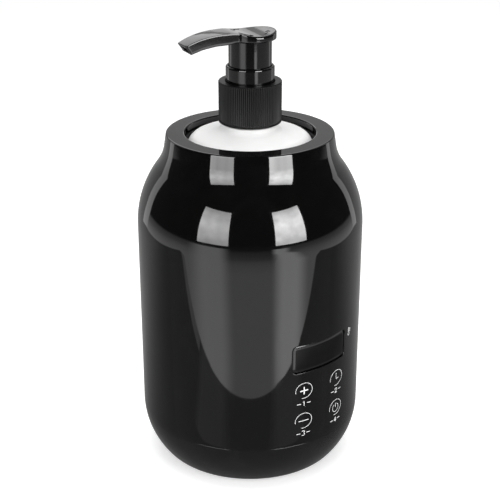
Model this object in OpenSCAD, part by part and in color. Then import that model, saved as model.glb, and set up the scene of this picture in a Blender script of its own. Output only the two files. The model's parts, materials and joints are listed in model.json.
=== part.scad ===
// Massage oil warmer: a round heated stand that holds a pump bottle of oil.
// The feet stand on Z = 0, +Z is up, the display faces -Y, and sizes are in millimetres.

/* [Body] */
// Outside diameter of the body
body_d = 100; // [99:1:108]
// Height of the lip above the table
body_h = 153; // [150:1:160]
// Wall of the outer shell
shell_wall = 2.5; // [2:0.1:3]
// Height from the start of the shoulder to the lip
shoulder_h = 41; // [38:1:46]
// Radius of the shoulder's upper curve
shoulder_r = 44; // [38:1:48]
// Width of the lip from the opening to the neck's outside
lip_w = 8; // [7.5:0.1:9.5]
// Height of the neck's straight part under the lip
neck_straight = 5.8; // [4.5:0.1:6.5]
// Lean of the neck's straight part
neck_lean = 9; // [6:0.5:11]
// Thickness of the lip
lip_t = 3; // [2.4:0.1:3.6]
// Rounding of the lip's edges
lip_edge_r = 0.6; // [0.3:0.1:1]

/* [Base] */
// Height that the feet stand out under the base
foot_h = 1.5; // [1:0.1:2.5]
// Diameter of a foot
foot_d = 12; // [10:0.5:13]
// Height of the rounded bottom
base_round_h = 24; // [22:0.5:26]
// Radius of the rounded bottom
base_round_r = 35; // [33:1:40]
// Rounding of the bottom edge
base_edge_r = 6; // [4:0.5:8]
// Height of the seam above the base's underside
seam_h = 21.5; // [20:0.5:22]
// Wall of the base cover
base_wall = 2.5; // [2:0.1:3]
// Height of the spigot that centres the base cover in the shell
spigot_h = 3; // [2:0.1:3.5]
// Bevel of both edges at the seam
seam_bevel = 0.35; // [0.2:0.05:0.5]
// Height of the base cover's screw pillars above its floor
pillar_h = 8; // [7:0.5:10]
// Diameter of the base screws
base_screw_d = 3; // [2.5:0.1:3.5]
// Length of the base screws under the head
base_screw_l = 16; // [14:0.5:18]

/* [Display] */
// Width of the display window
window_w = 30; // [26:0.5:33]
// Height of the display window
window_h = 12.8; // [11:0.2:15]
// Height of the window's centre above the table
window_z = 65.1; // [63:0.1:70]
// Rounding of the window's corners
window_r = 2.2; // [1:0.1:3]
// Depth of the window's front plug
lens_plug_t = 2; // [1.6:0.1:2.4]
// Thickness of the window's flange behind the shell
lens_flange_t = 1.2; // [1:0.1:1.4]
// Width of the window's flange around the plug
lens_flange_w = 2; // [1.5:0.1:2.5]
// Distance between the two columns of keys
key_pitch_x = 18.8; // [16:0.2:20]
// Distance between the two rows of keys
key_pitch_z = 14.8; // [13:0.2:16]
// Height of the lower row of keys above the table
key_z = 34.8; // [34:0.1:36.5]
// Diameter of a touch pad
touch_pad_d = 6; // [5:0.5:7]
// Width of the control board
panel_board_w = 40; // [38:0.5:42]
// Height of the control board
panel_board_h = 57; // [54:0.5:60]
// Thickness of both circuit boards
board_t = 1.6; // [1.2:0.1:2]

/* [Heater] */
// Height of the cup's underside above the table
cup_z = 34; // [33:0.5:36]
// Wall of the heater cup
cup_wall = 1.2; // [1:0.1:1.6]
// Thickness of the cup's floor
cup_floor_t = 1.5; // [1.2:0.1:2.2]
// Gap between the bottle and the cup
cup_gap = 0.6; // [0.5:0.1:0.8]
// Thickness of the pad under the bottle
pad_t = 1.5; // [1:0.1:2.5]
// Thickness of the seal between the cup and the lip
seal_t = 0.6; // [0.5:0.1:1]
// Thickness of the heating film
heater_t = 1; // [0.8:0.1:1.4]
// Height of the heating film
heater_h = 76; // [60:1:84]
// Height of the film's lower edge above the cup's underside
heater_lift = 8; // [7:0.5:10]
// Angle left open between the film's ends
heater_gap_deg = 20; // [15:1:30]
// Share of the space between the heating film and the control board that the felt takes
felt_fill = 0.64; // [0.5:0.02:0.66]

/* [Bottle] */
// Outside diameter of the bottle
bottle_d = 54.8; // [53:0.2:55.2]
// Height of the bottle up to the foot of its threaded neck
bottle_h = 120; // [118:1:126]
// Wall of the bottle
bottle_wall = 1.2; // [1:0.1:1.8]
// Rounding of the bottle's shoulder
bottle_shoulder_r = 6; // [4:0.5:8]
// Slope of the bottle's dome, in degrees
dome_deg = 12; // [8:1:16]
// Diameter of the plain ring under the threaded neck
neck_base_d = 24.8; // [23:0.2:26]
// Height of the plain ring under the threaded neck
neck_base_h = 2.6; // [2:0.2:3.4]
// Rounding of the bottle's bottom edge
bottle_foot_r = 4; // [3:0.5:6]
// Gap between the bottle and the lip
bottle_gap = 1.1; // [0.9:0.1:1.4]
// Diameter of the neck under its thread
finish_d = 21.6; // [21.4:0.1:21.8]
// Diameter of the neck's bore
finish_bore = 17.2; // [16:0.2:18]
// Pitch of the neck's thread
thread_pitch = 3.18; // [3:0.02:3.4]
// Turns of the thread
thread_turns = 1.5; // [1.25:0.25:1.5]

/* [Pump] */
// Outside diameter of the ribbed closure
closure_d = 27.2; // [27:0.1:29]
// Height of the closure
closure_h = 17.9; // [17.5:0.1:20]
// Number of grip ribs
closure_ribs = 96; // [60:4:120]
// Depth of the grip ribs
rib_depth = 0.35; // [0.2:0.05:0.4]
// Diameter of the smooth lock collar
collar_d = 20.9; // [20.6:0.1:21.2]
// Height of the lock collar above the closure
collar_rise = 6.7; // [6.4:0.1:9]
// Diameter of the head's skirt
skirt_d = 18.4; // [17.8:0.1:18.6]
// Height of the skirt above the lock collar
skirt_rise = 10.5; // [9:0.5:14]
// Stroke of the pump
stroke = 6.5; // [5:0.1:6.5]
// Diameter of the head's thumb plate
plate_d = 22.4; // [21:0.2:25]
// Thickness of the thumb plate and the spout's root
plate_t = 4.5; // [4.2:0.1:5.5]
// Reach of the spout from the pump's axis
spout_reach = 31; // [26:0.5:36]
// Width of the spout
spout_w = 9.1; // [8:0.1:10]
// Drop of the spout's tip
spout_drop = 4.3; // [3.5:0.1:5.5]
// Direction of the spout about the axis, from +X
spout_angle = 166.3; // [0:0.1:360]
// Diameter of the pump's stem
stem_d = 6; // [5.6:0.1:6.4]
// Bore of the pump's cylinder
pump_bore = 11; // [10.6:0.1:11.4]
// Length of the pump's cylinder under its flange
pump_l = 42; // [40:0.5:46]
// Outside diameter of the dip tube
dip_d = 5.9; // [5:0.1:6]
// Wire of the return spring
spring_wire = 0.9; // [0.7:0.1:1]
// Coils of the return spring
spring_turns = 7; // [5:1:8]

/* [Power inlet] */
// Height of the inlet's axis above the table
socket_z = 33.5; // [33:0.5:34.5]
// Diameter of the inlet's threaded barrel
socket_d = 8; // [7.5:0.1:8.5]
// Diameter of the inlet's flange
socket_flange_d = 11; // [10.5:0.1:11.5]
// Bore of the inlet
socket_bore = 5.6; // [5.5:0.1:5.8]

/* [Hidden] */

// Sides of a full circle, the overshoot of a cut, and the gap of a fixed fit
$fn = 96;
cut = 0.5;
fit = 0.05;
// Gap of a loose fit and of a sliding fit
loose = 0.2;
slide = 0.3;

// Heights and radii of the body
body_r = body_d / 2;
base_z = foot_h;
floor_z = base_z + base_wall;
seam_z = base_z + seam_h;
round_z = base_z + base_round_h;
shoulder_z = body_h - shoulder_h;
opening_r = bottle_d / 2 + bottle_gap;
neck_r = opening_r + lip_w;
lip_z = body_h - lip_t;
shell_ir = body_r - shell_wall;
// The hollow touches the neck's straight part at its foot, and the shoulder's curve at shoulder_deg
shoulder_c = [body_r - shoulder_r, shoulder_z];
neck_foot = [neck_r + neck_straight * tan(neck_lean), body_h - neck_straight];
neck_out = [cos(neck_lean), sin(neck_lean)];
neck_way = neck_foot - shoulder_c;
hollow_r = (neck_way * neck_way - pow(shoulder_r, 2)) / (2 * (shoulder_r - neck_way * neck_out));
hollow_c = neck_foot + hollow_r * neck_out;
shoulder_deg = atan2(hollow_c.y - shoulder_c.y, hollow_c.x - shoulder_c.x);
// The rounded bottom and the bottom edge meet at this angle
round_c = [body_r - base_round_r, round_z];
edge_rise = base_round_h - base_edge_r;
flat_r = round_c.x + sqrt(pow(base_round_r - base_edge_r, 2) - pow(edge_rise, 2));
edge_c = [flat_r, base_z + base_edge_r];
round_deg = atan2(edge_rise, flat_r - round_c.x);
reach = 2 * body_d;
arc_steps = 16;

// Screws of the base
foot_inset = 0.7;
screw_r = flat_r - foot_d / 2 - foot_inset;
screw_angles = [45, 135, 225, 315];
pillar_d = 10;
pillar_z = floor_z + pillar_h;
head_h = 2.2;
head_d = 5.6;
head_seat_t = 3.5;
foot_plug_d = 6.2;
foot_plug_h = 3;
counterbore_d = 6.4;
screw_gap = 0.4;
screw_fit = 0.1;
ear_t = 2;
boss_d = 8;
boss_z = pillar_z + ear_t;
boss_drop = 2;
boss_top = cup_z - boss_drop;
web_t = 3;
spigot_room = 1;
web_z = seam_z + spigot_h + spigot_room;
spigot_t = 2;
spigot_drop = 4;
spigot_r = shell_ir - slide;

// Cup, film and felt
cup_ir = bottle_d / 2 + cup_gap;
cup_or = cup_ir + cup_wall;
cup_flange_t = 1.2;
flange_room = 0.5;
cup_flange_r = neck_r - shell_wall - flange_room;
cup_top = lip_z - seal_t;
seal_inset = 0.5;
seal_ir = cup_or + seal_inset;
seal_or = cup_flange_r - seal_inset;
pad_inset = 1;
pad_r = cup_ir - pad_inset;
heater_ir = cup_or + fit;
heater_or = heater_ir + heater_t;
heater_z = cup_z + heater_lift;
strap_t = 0.4;
strap_h = 8;
strap_inset = 16;
// Drum under the cup, and its windows for the wiring
drum_room = 1;
drum_r = min(screw_r - boss_d / 2, cup_or) - drum_room;
drum_wall = 2;
drum_flange_t = 1.5;
drum_flange_w = 6;
drum_flange_ir = drum_r - drum_flange_w;
drum_arm_w = 6;
drum_window_h = 12;
back_window_w = 24;
front_window_w = 12;

// Parts under the cup
sensor_h = 7;
sensor_d = 7;
sensor_x = 8;
cutout_size = [14, 8];
bracket_t = 0.8;
bracket_w = 8;
bracket_z = cup_z - sensor_h - bracket_t;
lug_w = 5;
lug_gap = 0.5;
lug_x = drum_r - drum_wall - lug_w / 2 - lug_gap;
bracket_screw_d = 2.2;
bracket_head = [4.4, 1.5];
bracket_screw_l = 5;

// Power board and its parts
board_lift = 5;
board_z = floor_z + board_lift;
board_top = board_z + board_t;
board_gap = 1.5;
board_r = screw_r - pillar_d / 2 - board_gap;
board_screw_inset = 5;
board_screw_r = board_r - board_screw_inset;
board_screw_angles = [0, 120, 240];
board_post_d = 6;
board_screw_d = 2.2;
board_head = [4, 1.4];
board_screw_l = 5;
relay_size = [14, 11, 10];
relay_at = [-9, -4];
capacitor_d = 10;
capacitor_h = 12;
capacitor_gap = 1;
capacitor_angle = 146;
capacitor_at = (drum_r - drum_wall - capacitor_d / 2 - capacitor_gap)
    * [cos(capacitor_angle), sin(capacitor_angle)];
buzzer_d = 12;
buzzer_h = 8;
buzzer_at = [9, -8];
buzzer_port_d = 2;
connector_h = 6;
connector_d = 5;
lead_z = board_top + connector_h / 2;
back_connector_w = 12;
front_connector_w = 8;
sensor_connector_w = 6;
connector_y = 15.5;
sensor_connector_at = [11, 6];

// Control board and display, as distances from the axis towards the front
lens_y = sqrt(pow(body_r, 2) - pow(window_w / 2, 2));
lens_seat_y = lens_y - lens_plug_t;
lens_back_y = lens_seat_y - lens_flange_t;
lens_gap = 0.25;
lens_sink = 0.3;
frame_w = 4;
module_gap = 0.1;
module_size = [27, 11];
panel_depth = 9.5;
panel_y = body_r - panel_depth;
panel_back_y = panel_y - board_t;
panel_z = web_z;
panel_post_d = 5;
panel_post_l = 5.5;
panel_post_side = 4;
panel_post_x = panel_board_w / 2 - panel_post_side;
panel_post_inset = 3.5;
panel_post_zs = [panel_z + panel_post_inset, panel_z + panel_board_h - panel_post_inset];
panel_screw_d = 1.9;
panel_head = [4, 1.3];
panel_screw_l = 5;
chip_w = 7;
chip_t = 1.2;
chip_lift = 15;
chip_z = key_z + chip_lift;
header_w = 9;
header_t = 3.5;
header_h = 5;
header_lift = 1;
header_z = panel_z + header_lift;

// Felt between the heating film and the control board, ending under the shell's hollow and the cup's flange
felt_ir = heater_or + fit;
felt_or = felt_ir + felt_fill * (panel_back_y - chip_t - heater_or);
felt_room = 0.5;
felt_side = hollow_c.x - felt_or - felt_room;
felt_drop = 1;
hollow_low = hollow_c.y - sqrt(max(0, pow(hollow_r + shell_wall, 2) - pow(felt_side, 2)));
felt_top = min(hollow_low, cup_top - cup_flange_t) - felt_drop;

// Power inlet, as distances from the axis towards the back
socket_seat_depth = 2;
socket_seat_y = body_r - socket_seat_depth;
socket_flange_t = 1.5;
socket_pad_depth = 5.5;
socket_pad_y = body_r - socket_pad_depth;
socket_pad_w = 13;
socket_rear_depth = 15;
socket_rear_y = body_r - socket_rear_depth;
socket_bore_l = 9;
socket_pin_d = 2;
socket_pin_l = 7.5;
socket_front_y = socket_seat_y + socket_flange_t;
nut_t = 2;
nut_d = 12.4;
nut_sides = 6;

// Heights of the bottle and its neck
bottle_r = bottle_d / 2;
bottle_z = cup_z + cup_floor_t + pad_t;
bottle_top = bottle_z + bottle_h;
bottle_floor_t = 2.4;
bottle_dent = [21, 1];
neck_base_r = neck_base_d / 2;
dome_z = bottle_top - neck_base_h;
dome_run = bottle_r - bottle_shoulder_r * (1 - sin(dome_deg)) - neck_base_r;
dome_drop = dome_run * tan(dome_deg) + bottle_shoulder_r * cos(dome_deg);
dome_c = [bottle_r - bottle_shoulder_r, dome_z - dome_drop];
closure_lift = 0.6;
closure_z = bottle_top + closure_lift;
closure_top = closure_z + closure_h;
closure_plate_t = 1.3;
flange_t = 1.2;
gasket_t = 1;
flange_top = closure_top - closure_plate_t - fit;
flange_z = flange_top - flange_t;
finish_top = flange_z - gasket_t;
finish_r = finish_d / 2;
thread_h = 1.1;
thread_root_w = 1.7;
thread_tip_w = 0.7;
thread_sink = 0.3;
thread_steps = 24;
thread_start = 0.3;
thread_fade = 4;
thread_drop = 3.6;
thread_gap = 0.4;
thread_z = finish_top - thread_drop - thread_pitch * thread_turns;

// Radii of the pump
closure_r = closure_d / 2;
closure_ir = finish_r + thread_h + thread_gap;
closure_rib_r = closure_r - rib_depth;
rib_sink = 0.2;
rib_flank = 0.35;
closure_band = 1;
closure_edge = 0.7;
collar_r = collar_d / 2;
collar_top = closure_top + collar_rise;
collar_floor_t = 0.9;
collar_edge_r = 0.8;
collar_ir = skirt_d / 2 + slide;
guide_r = 5.2;
guide_h = 3.4;
flange_r = closure_ir - thread_gap;
housing_wall = 1.1;
housing_r = pump_bore / 2 + housing_wall;
gasket_gap = 0.15;
gasket_ir = housing_r + gasket_gap;
ledge_z = flange_z - pump_l;
ball_r = 2.4;
ball_seat_r = 1.6;
ball_gap = 0.02;
ball_room_r = 3.2;
ball_room_h = 4.5;
seat_z = ledge_z - ball_room_h;
seat_t = 1;
tail_wall = 1.3;
tail_r = dip_d / 2 + fit + tail_wall;
tail_l = 11;
tail_z = seat_z - tail_l;
dip_wall = 0.75;
dip_foot = 1;
// Stem, piston and spring
stem_r = stem_d / 2;
stem_bore_r = 1.7;
spring_l = 21;
spring_r = 4.3;
spring_sides = 6;
spring_rings = 8;
spring_room = 0.02;
stem_z = ledge_z + spring_l;
seat_flange_r = 4.9;
seat_flange_t = 1.5;
piston_h = 6;
piston_gap = 0.05;
stem_port_lift = 1.5;
stem_port_z = stem_z + seat_flange_t + stem_port_lift;
// Head and spout
skirt_r = skirt_d / 2;
skirt_wall = 1;
skirt_top = collar_top + skirt_rise;
stroke_room = 0.15;
skirt_bottom = flange_top + collar_floor_t + stroke_room + stroke;
head_top = skirt_top + plate_t;
plate_r = plate_d / 2;
plate_rim_t = 2.6;
plate_edge_r = 0.8;
socket_wall = 1.6;
stem_drop = 1.5;
stem_top = skirt_top - stem_drop;
stem_socket_l = 6;
channel_r = 1.3;
nozzle_r = 1.7;
nozzle_lap = 0.6;
channel_z = skirt_top + plate_t / 2;
spout_bend = 12;
spout_foot_drop = 2.3;
spout_cut = 2.4;
spout_overlap = 0.2;
spout_upper_curve = 2.7;
spout_lower_curve = 3;
spout_chamfer = 0.6;
spout_steps = 14;
spout_root = -3;
spout_dip = 0.3;
spout_hump = 0.3;
hump_from = 4;
hump_to = 13;
channel_bend = 18;

// Radii of the wires, and the place of the heater's wires beside the cup
wire_r = 0.8;
lead_gap = 0.2;
lead_x = 8;
lead_y = sqrt(pow(heater_ir + wire_r + lead_gap, 2) - pow(lead_x, 2));
thin_wire_r = 0.6;
ribbon_size = [6, 0.8];

// Routes of the inner wiring, one list of points per wire
socket_routes = [for (s = [-1, 1]) [
    [2 * s, socket_rear_y, socket_z],
    [2 * s, socket_rear_y - 1.4, socket_z - 2.8],
    [2 * s, drum_r + 5.5, socket_z - 7],
    [2 * s, drum_r + 4, lead_z + 6],
    [2 * s, drum_r, lead_z + 1.5],
    [2 * s, connector_y + connector_d / 2, lead_z]
]];
heater_routes = [for (s = [-1, 1]) [
    [lead_x * s, lead_y, heater_z - fit],
    [lead_x * s, lead_y, cup_z + 2],
    [lead_x * s, lead_y, cup_z - 3],
    [7.6 * s, drum_r + 2.4, lead_z + 5],
    [6 * s, drum_r - 2, lead_z + 1],
    [4.6 * s, connector_y + connector_d / 2, lead_z]
]];
sensor_routes = [for (s = [-1, 1]) [
    [sensor_x + 0.9 * s, sensor_d / 2 - 0.2, cup_z - 4],
    [sensor_x + 1 + 1.2 * s, sensor_d / 2 + 2.6, cup_z - 6],
    [sensor_connector_at.x + 1.2 * s, sensor_connector_at.y + 0.5, cup_z - 11],
    [sensor_connector_at.x + 1.2 * s, sensor_connector_at.y, board_top + connector_h]
]];
cutout_routes = [for (s = [-1, 1]) [
    [-sensor_x + 2 * s, cutout_size.y / 2, cup_z - 4],
    [-sensor_x + 1 + 2 * s, cutout_size.y / 2 + 3.4, cup_z - 5.5],
    [-3.2 + 1.8 * s, connector_y - 3.5, cup_z - 12],
    [-1.5 + 1.6 * s, connector_y, board_top + connector_h]
]];
panel_route = [
    [0, -panel_back_y + 1.8, header_z],
    [0, -panel_back_y + 2, header_z - 5],
    [0, -drum_r - 7, lead_z + 3.6],
    [0, -drum_r, lead_z + 0.8],
    [0, -connector_y - connector_d / 2, lead_z]
];

// Point at radius r and angle a round c
function polar(c, r, a) = c + r * [cos(a), sin(a)];
function unit(v) = v / norm(v);
// Points of an arc about c
function arc(c, r, a0, a1) = [for (i = [0 : arc_steps]) polar(c, r, a0 + (a1 - a0) * i / arc_steps)];

// Smooth curve through the points of p, with k steps per stretch
function smooth_at(a, b, c, d, t) =
    b + t / 2 * (c - a + t * (2 * a - 5 * b + 4 * c - d + t * (3 * (b - c) + d - a)));
function smooth_route(p, k) = concat(
    [for (i = [0 : len(p) - 2], j = [0 : k - 1])
        smooth_at(p[max(i - 1, 0)], p[i], p[i + 1], p[min(i + 2, len(p) - 1)], j / k)],
    [p[len(p) - 1]]);
function tangent(p, i) = unit(p[min(i + 1, len(p) - 1)] - p[max(i - 1, 0)]);
// Sideways direction at right angles to t
function sideways(t) = unit([1, 0, 0] - t.x * t);
function circle_points(r, n) = [for (i = [0 : n - 1]) polar([0, 0], r, i * 360 / n)];

// Triangles between rings of n points, with both ends closed
function ring_faces(rings, n) = concat(
    [for (i = [0 : rings - 2], j = [0 : n - 1]) [i * n + j, i * n + (j + 1) % n, (i + 1) * n + j]],
    [for (i = [0 : rings - 2], j = [0 : n - 1])
        [i * n + (j + 1) % n, (i + 1) * n + (j + 1) % n, (i + 1) * n + j]],
    [for (j = [1 : n - 2]) [0, j + 1, j]],
    [for (j = [1 : n - 2]) [(rings - 1) * n, (rings - 1) * n + j, (rings - 1) * n + j + 1]]);
function flip(faces) = [for (f = faces) [f[0], f[2], f[1]]];

// Wire or ribbon of the given section along a route
module sweep(route, section, k = 5) {
    path = smooth_route(route, k);
    n = len(section);
    points = [
        for (i = [0 : len(path) - 1])
            let (t = tangent(path, i), s = sideways(t), u = cross(t, s))
                for (q = section) path[i] + q.x * s + q.y * u
    ];
    polyhedron(points, flip(ring_faces(len(path), n)));
}

// Screw along +Z with its head under the origin
module screw(head, d, l) {
    translate([0, 0, -head[1]])
        cylinder(d = head[0], h = head[1]);
    cylinder(d = d, h = l);
}

// Copies of the children at the given angles and radius
module around(angles, r) {
    for (a = angles)
        rotate([0, 0, a])
            translate([r, 0, 0])
                children();
}

// Cylinder from y0 to y1 at x and z, along Y
module along_y(x, z, d, y0, y1, sides = $fn) {
    translate([x, y1, z])
        rotate([90, 0, 0])
            cylinder(d = d, h = y1 - y0, $fn = sides);
}

// Block of the front view between y0 and y1
module front_slab(y0, y1) {
    translate([0, y1, 0])
        rotate([90, 0, 0])
            linear_extrude(height = y1 - y0)
                children();
}

// Rounded rectangle round the origin
module rounded(w, h, r) {
    square([w - 2 * r, h], center = true);
    square([w, h - 2 * r], center = true);
    for (x = [-1, 1], y = [-1, 1])
        translate([x * (w / 2 - r), y * (h / 2 - r)])
            circle(r);
}

// Corner of material that a rounding of radius r takes off, towards (sx, sz)
module corner_cut(at, r, sx, sz) {
    difference() {
        translate([at.x - sx * r, at.y - sz * r])
            scale([sx, sz])
                square(r + cut);
        translate([at.x - sx * r, at.y - sz * r])
            circle(r);
    }
}

// Slice of a disc between two angles
module slice(c, r, a0, a1) {
    intersection() {
        translate(c)
            circle(r);
        polygon([c, polar(c, 2 * r, a0), polar(c, 2 * r, a1)]);
    }
}

// Half outline of the rounded bottom, inset by t
function base_points(t) = concat(
    [[0, base_z + t]],
    arc(edge_c, base_edge_r - t, -90, -round_deg),
    arc(round_c, base_round_r - t, -round_deg, 0));

// Half outline of the whole body, inset by t and closed at the given height
function body_points(t, top) = concat(
    base_points(t),
    arc(shoulder_c, shoulder_r - t, 0, shoulder_deg),
    arc(hollow_c, hollow_r + t, 180 + shoulder_deg, 180 + neck_lean),
    [[neck_r + (body_h - top) * tan(neck_lean) - t / cos(neck_lean), top], [0, top]]);

// Half outline of the shell without its inner posts
module shell_area() {
    difference() {
        polygon(body_points(0, body_h));
        intersection() {
            polygon(body_points(shell_wall, body_h));
            square([body_r, lip_z]);
        }
        square([opening_r, reach]);
        square([body_r + cut, seam_z]);
        corner_cut([neck_r + lip_edge_r * tan(neck_lean), body_h], lip_edge_r, 1, 1);
        corner_cut([opening_r, body_h], lip_edge_r, -1, 1);
        polygon([[body_r + cut, seam_z - cut], [body_r + cut, seam_z + seam_bevel + cut],
            [body_r - seam_bevel - cut, seam_z - cut]]);
    }
}

module outer_shell() {
    color("#0b0b0d")
    difference() {
        union() {
            rotate_extrude()
                shell_area();
            // Screw bosses and the webs that carry them
            around(screw_angles, screw_r) {
                translate([0, 0, boss_z])
                    cylinder(d = boss_d, h = boss_top - boss_z);
                translate([0, -web_t / 2, web_z])
                    cube([body_r - shell_wall / 2 - screw_r, web_t, boss_top - web_z]);
            }
            // Flat frame behind the display window
            intersection() {
                translate([0, 0, window_z])
                    front_slab(-body_r, -lens_seat_y)
                        square([window_w + 2 * (lens_flange_w + frame_w),
                            window_h + 2 * (lens_flange_w + frame_w)], center = true);
                cylinder(r = body_r - shell_wall / 2, h = body_h);
            }
            // Posts of the control board
            for (x = [-1, 1], z = panel_post_zs)
                along_y(x * panel_post_x, z, panel_post_d, -panel_y - panel_post_l, -panel_y);
            // Pad behind the power inlet
            intersection() {
                translate([-socket_pad_w / 2, socket_pad_y, socket_z - socket_pad_w / 2])
                    cube([socket_pad_w, body_r - socket_pad_y, socket_pad_w]);
                cylinder(r = body_r - shell_wall / 2, h = body_h);
            }
        }
        around(screw_angles, screw_r)
            translate([0, 0, boss_z - cut])
                cylinder(d = base_screw_d + screw_fit, h = base_screw_l + cut);
        translate([0, 0, window_z]) {
            front_slab(-body_r - cut, -lens_seat_y + cut)
                rounded(window_w + 2 * lens_gap, window_h + 2 * lens_gap, window_r + lens_gap);
            front_slab(-lens_seat_y, -lens_seat_y + 2 * frame_w)
                rounded(window_w + 2 * (lens_flange_w + lens_gap),
                    window_h + 2 * (lens_flange_w + lens_gap), window_r);
        }
        for (x = [-1, 1], z = panel_post_zs)
            along_y(x * panel_post_x, z, panel_screw_d + screw_fit,
                -panel_y - panel_screw_l, -panel_y + cut);
        along_y(0, socket_z, socket_d + slide, socket_pad_y - cut, body_r);
        along_y(0, socket_z, socket_flange_d + 2 * slide, socket_seat_y, body_r + cut);
    }
}

module base_cover() {
    color("#161618")
    difference() {
        union() {
            rotate_extrude()
                difference() {
                    union() {
                        difference() {
                            polygon(concat(base_points(0), [[0, round_z]]));
                            polygon(concat(base_points(base_wall), [[0, round_z]]));
                            translate([0, seam_z])
                                square([body_r + cut, base_round_h]);
                        }
                        translate([spigot_r - spigot_t, seam_z - spigot_drop])
                            square([spigot_t, spigot_drop + spigot_h]);
                    }
                    polygon([[body_r + cut, seam_z + cut], [body_r + cut, seam_z - seam_bevel - cut],
                        [body_r - seam_bevel - cut, seam_z + cut]]);
                }
            around(screw_angles, screw_r)
                translate([0, 0, base_z + base_wall / 2])
                    cylinder(d = pillar_d, h = pillar_z - base_z - base_wall / 2);
            around(board_screw_angles, board_screw_r)
                translate([0, 0, base_z + base_wall / 2])
                    cylinder(d = board_post_d, h = board_z - base_z - base_wall / 2);
        }
        around(screw_angles, screw_r) {
            translate([0, 0, base_z - cut])
                cylinder(d = counterbore_d, h = pillar_z - head_seat_t - base_z + cut);
            translate([0, 0, base_z])
                cylinder(d = base_screw_d + screw_gap, h = pillar_h + body_h);
        }
        around(board_screw_angles, board_screw_r)
            translate([0, 0, board_top - board_screw_l])
                cylinder(d = board_screw_d + screw_fit, h = board_screw_l);
    }
}

// One rubber foot with the plug that covers its screw
module foot(i) {
    color("#1c1c1c")
    around([screw_angles[i - 1]], screw_r) {
        cylinder(d = foot_d, h = foot_h);
        translate([0, 0, foot_h])
            cylinder(d = foot_plug_d, h = foot_plug_h);
    }
}

module base_screws() {
    color("silver")
    around(screw_angles, screw_r)
        translate([0, 0, pillar_z - head_seat_t])
            screw([head_d, head_h], base_screw_d, base_screw_l);
}

module display_window() {
    color("#1a1a20") {
        // Curved front, just below the shell's surface
        intersection() {
            translate([0, 0, window_z])
                front_slab(-body_r, -lens_seat_y)
                    rounded(window_w, window_h, window_r);
            cylinder(r = body_r - lens_sink, h = body_h);
        }
        translate([0, 0, window_z])
            front_slab(-lens_seat_y, -lens_back_y)
                rounded(window_w + 2 * lens_flange_w, window_h + 2 * lens_flange_w, window_r);
    }
}

module display_module() {
    color("#2a2a2e")
    translate([0, 0, window_z])
        front_slab(-lens_back_y + module_gap, -panel_y)
            square(module_size, center = true);
}

module control_board() {
    color("darkgreen")
    difference() {
        translate([-panel_board_w / 2, -panel_y, panel_z])
            cube([panel_board_w, board_t, panel_board_h]);
        for (x = [-1, 1], z = panel_post_zs)
            along_y(x * panel_post_x, z, panel_screw_d + screw_gap, -panel_y - cut, -panel_back_y + cut);
    }
}

module controller_chip() {
    color("#222222")
    translate([-chip_w / 2, -panel_back_y, chip_z])
        cube([chip_w, chip_t, chip_w]);
}

module board_screws() {
    color("silver")
    for (x = [-1, 1], z = panel_post_zs)
        translate([x * panel_post_x, -panel_back_y, z])
            rotate([90, 0, 0])
                screw(panel_head, panel_screw_d, panel_screw_l);
}

// One sensing pad between the control board and the shell
module touch_pad(i) {
    color("#4a4a4a")
    intersection() {
        along_y((i % 2 - 0.5) * key_pitch_x, key_z + floor((i - 1) / 2) * key_pitch_z, touch_pad_d,
            -body_r, -panel_y);
        cylinder(r = shell_ir - fit, h = body_h);
    }
}

module heater_cup() {
    color("#3a3a3e")
    rotate_extrude()
        difference() {
            union() {
                translate([0, cup_z])
                    square([cup_or, cup_top - cup_z]);
                translate([0, cup_top - cup_flange_t])
                    square([cup_flange_r, cup_flange_t]);
            }
            translate([0, cup_z + cup_floor_t])
                square([cup_ir, reach]);
        }
}

module cup_seal() {
    color("#303030")
    translate([0, 0, cup_top])
        difference() {
            cylinder(r = seal_or, h = seal_t);
            translate([0, 0, -cut])
                cylinder(r = seal_ir, h = seal_t + 2 * cut);
        }
}

module cup_pad() {
    color("#5a2f2a")
    translate([0, 0, cup_z + cup_floor_t])
        cylinder(r = pad_r, h = pad_t);
}

// Ring with a gap at the back
module open_ring(ir, or, h) {
    difference() {
        cylinder(r = or, h = h);
        translate([0, 0, -cut])
            cylinder(r = ir, h = h + 2 * cut);
        translate([0, 0, -cut])
            linear_extrude(height = h + 2 * cut)
                polygon([[0, 0], polar([0, 0], reach, 90 - heater_gap_deg / 2),
                    polar([0, 0], reach, 90 + heater_gap_deg / 2)]);
    }
}

module heater_band() {
    color("#b5561f")
    translate([0, 0, heater_z])
        open_ring(heater_ir, heater_or, heater_h);
}

module felt_sleeve() {
    color("#d8d2c4")
    translate([0, 0, heater_z])
        open_ring(felt_ir, felt_or, felt_top - heater_z);
}

module strap(z) {
    color("#c8cacc")
    translate([0, 0, z])
        difference() {
            cylinder(r = felt_or + fit + strap_t, h = strap_h);
            translate([0, 0, -cut])
                cylinder(r = felt_or + fit, h = strap_h + 2 * cut);
        }
}

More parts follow.
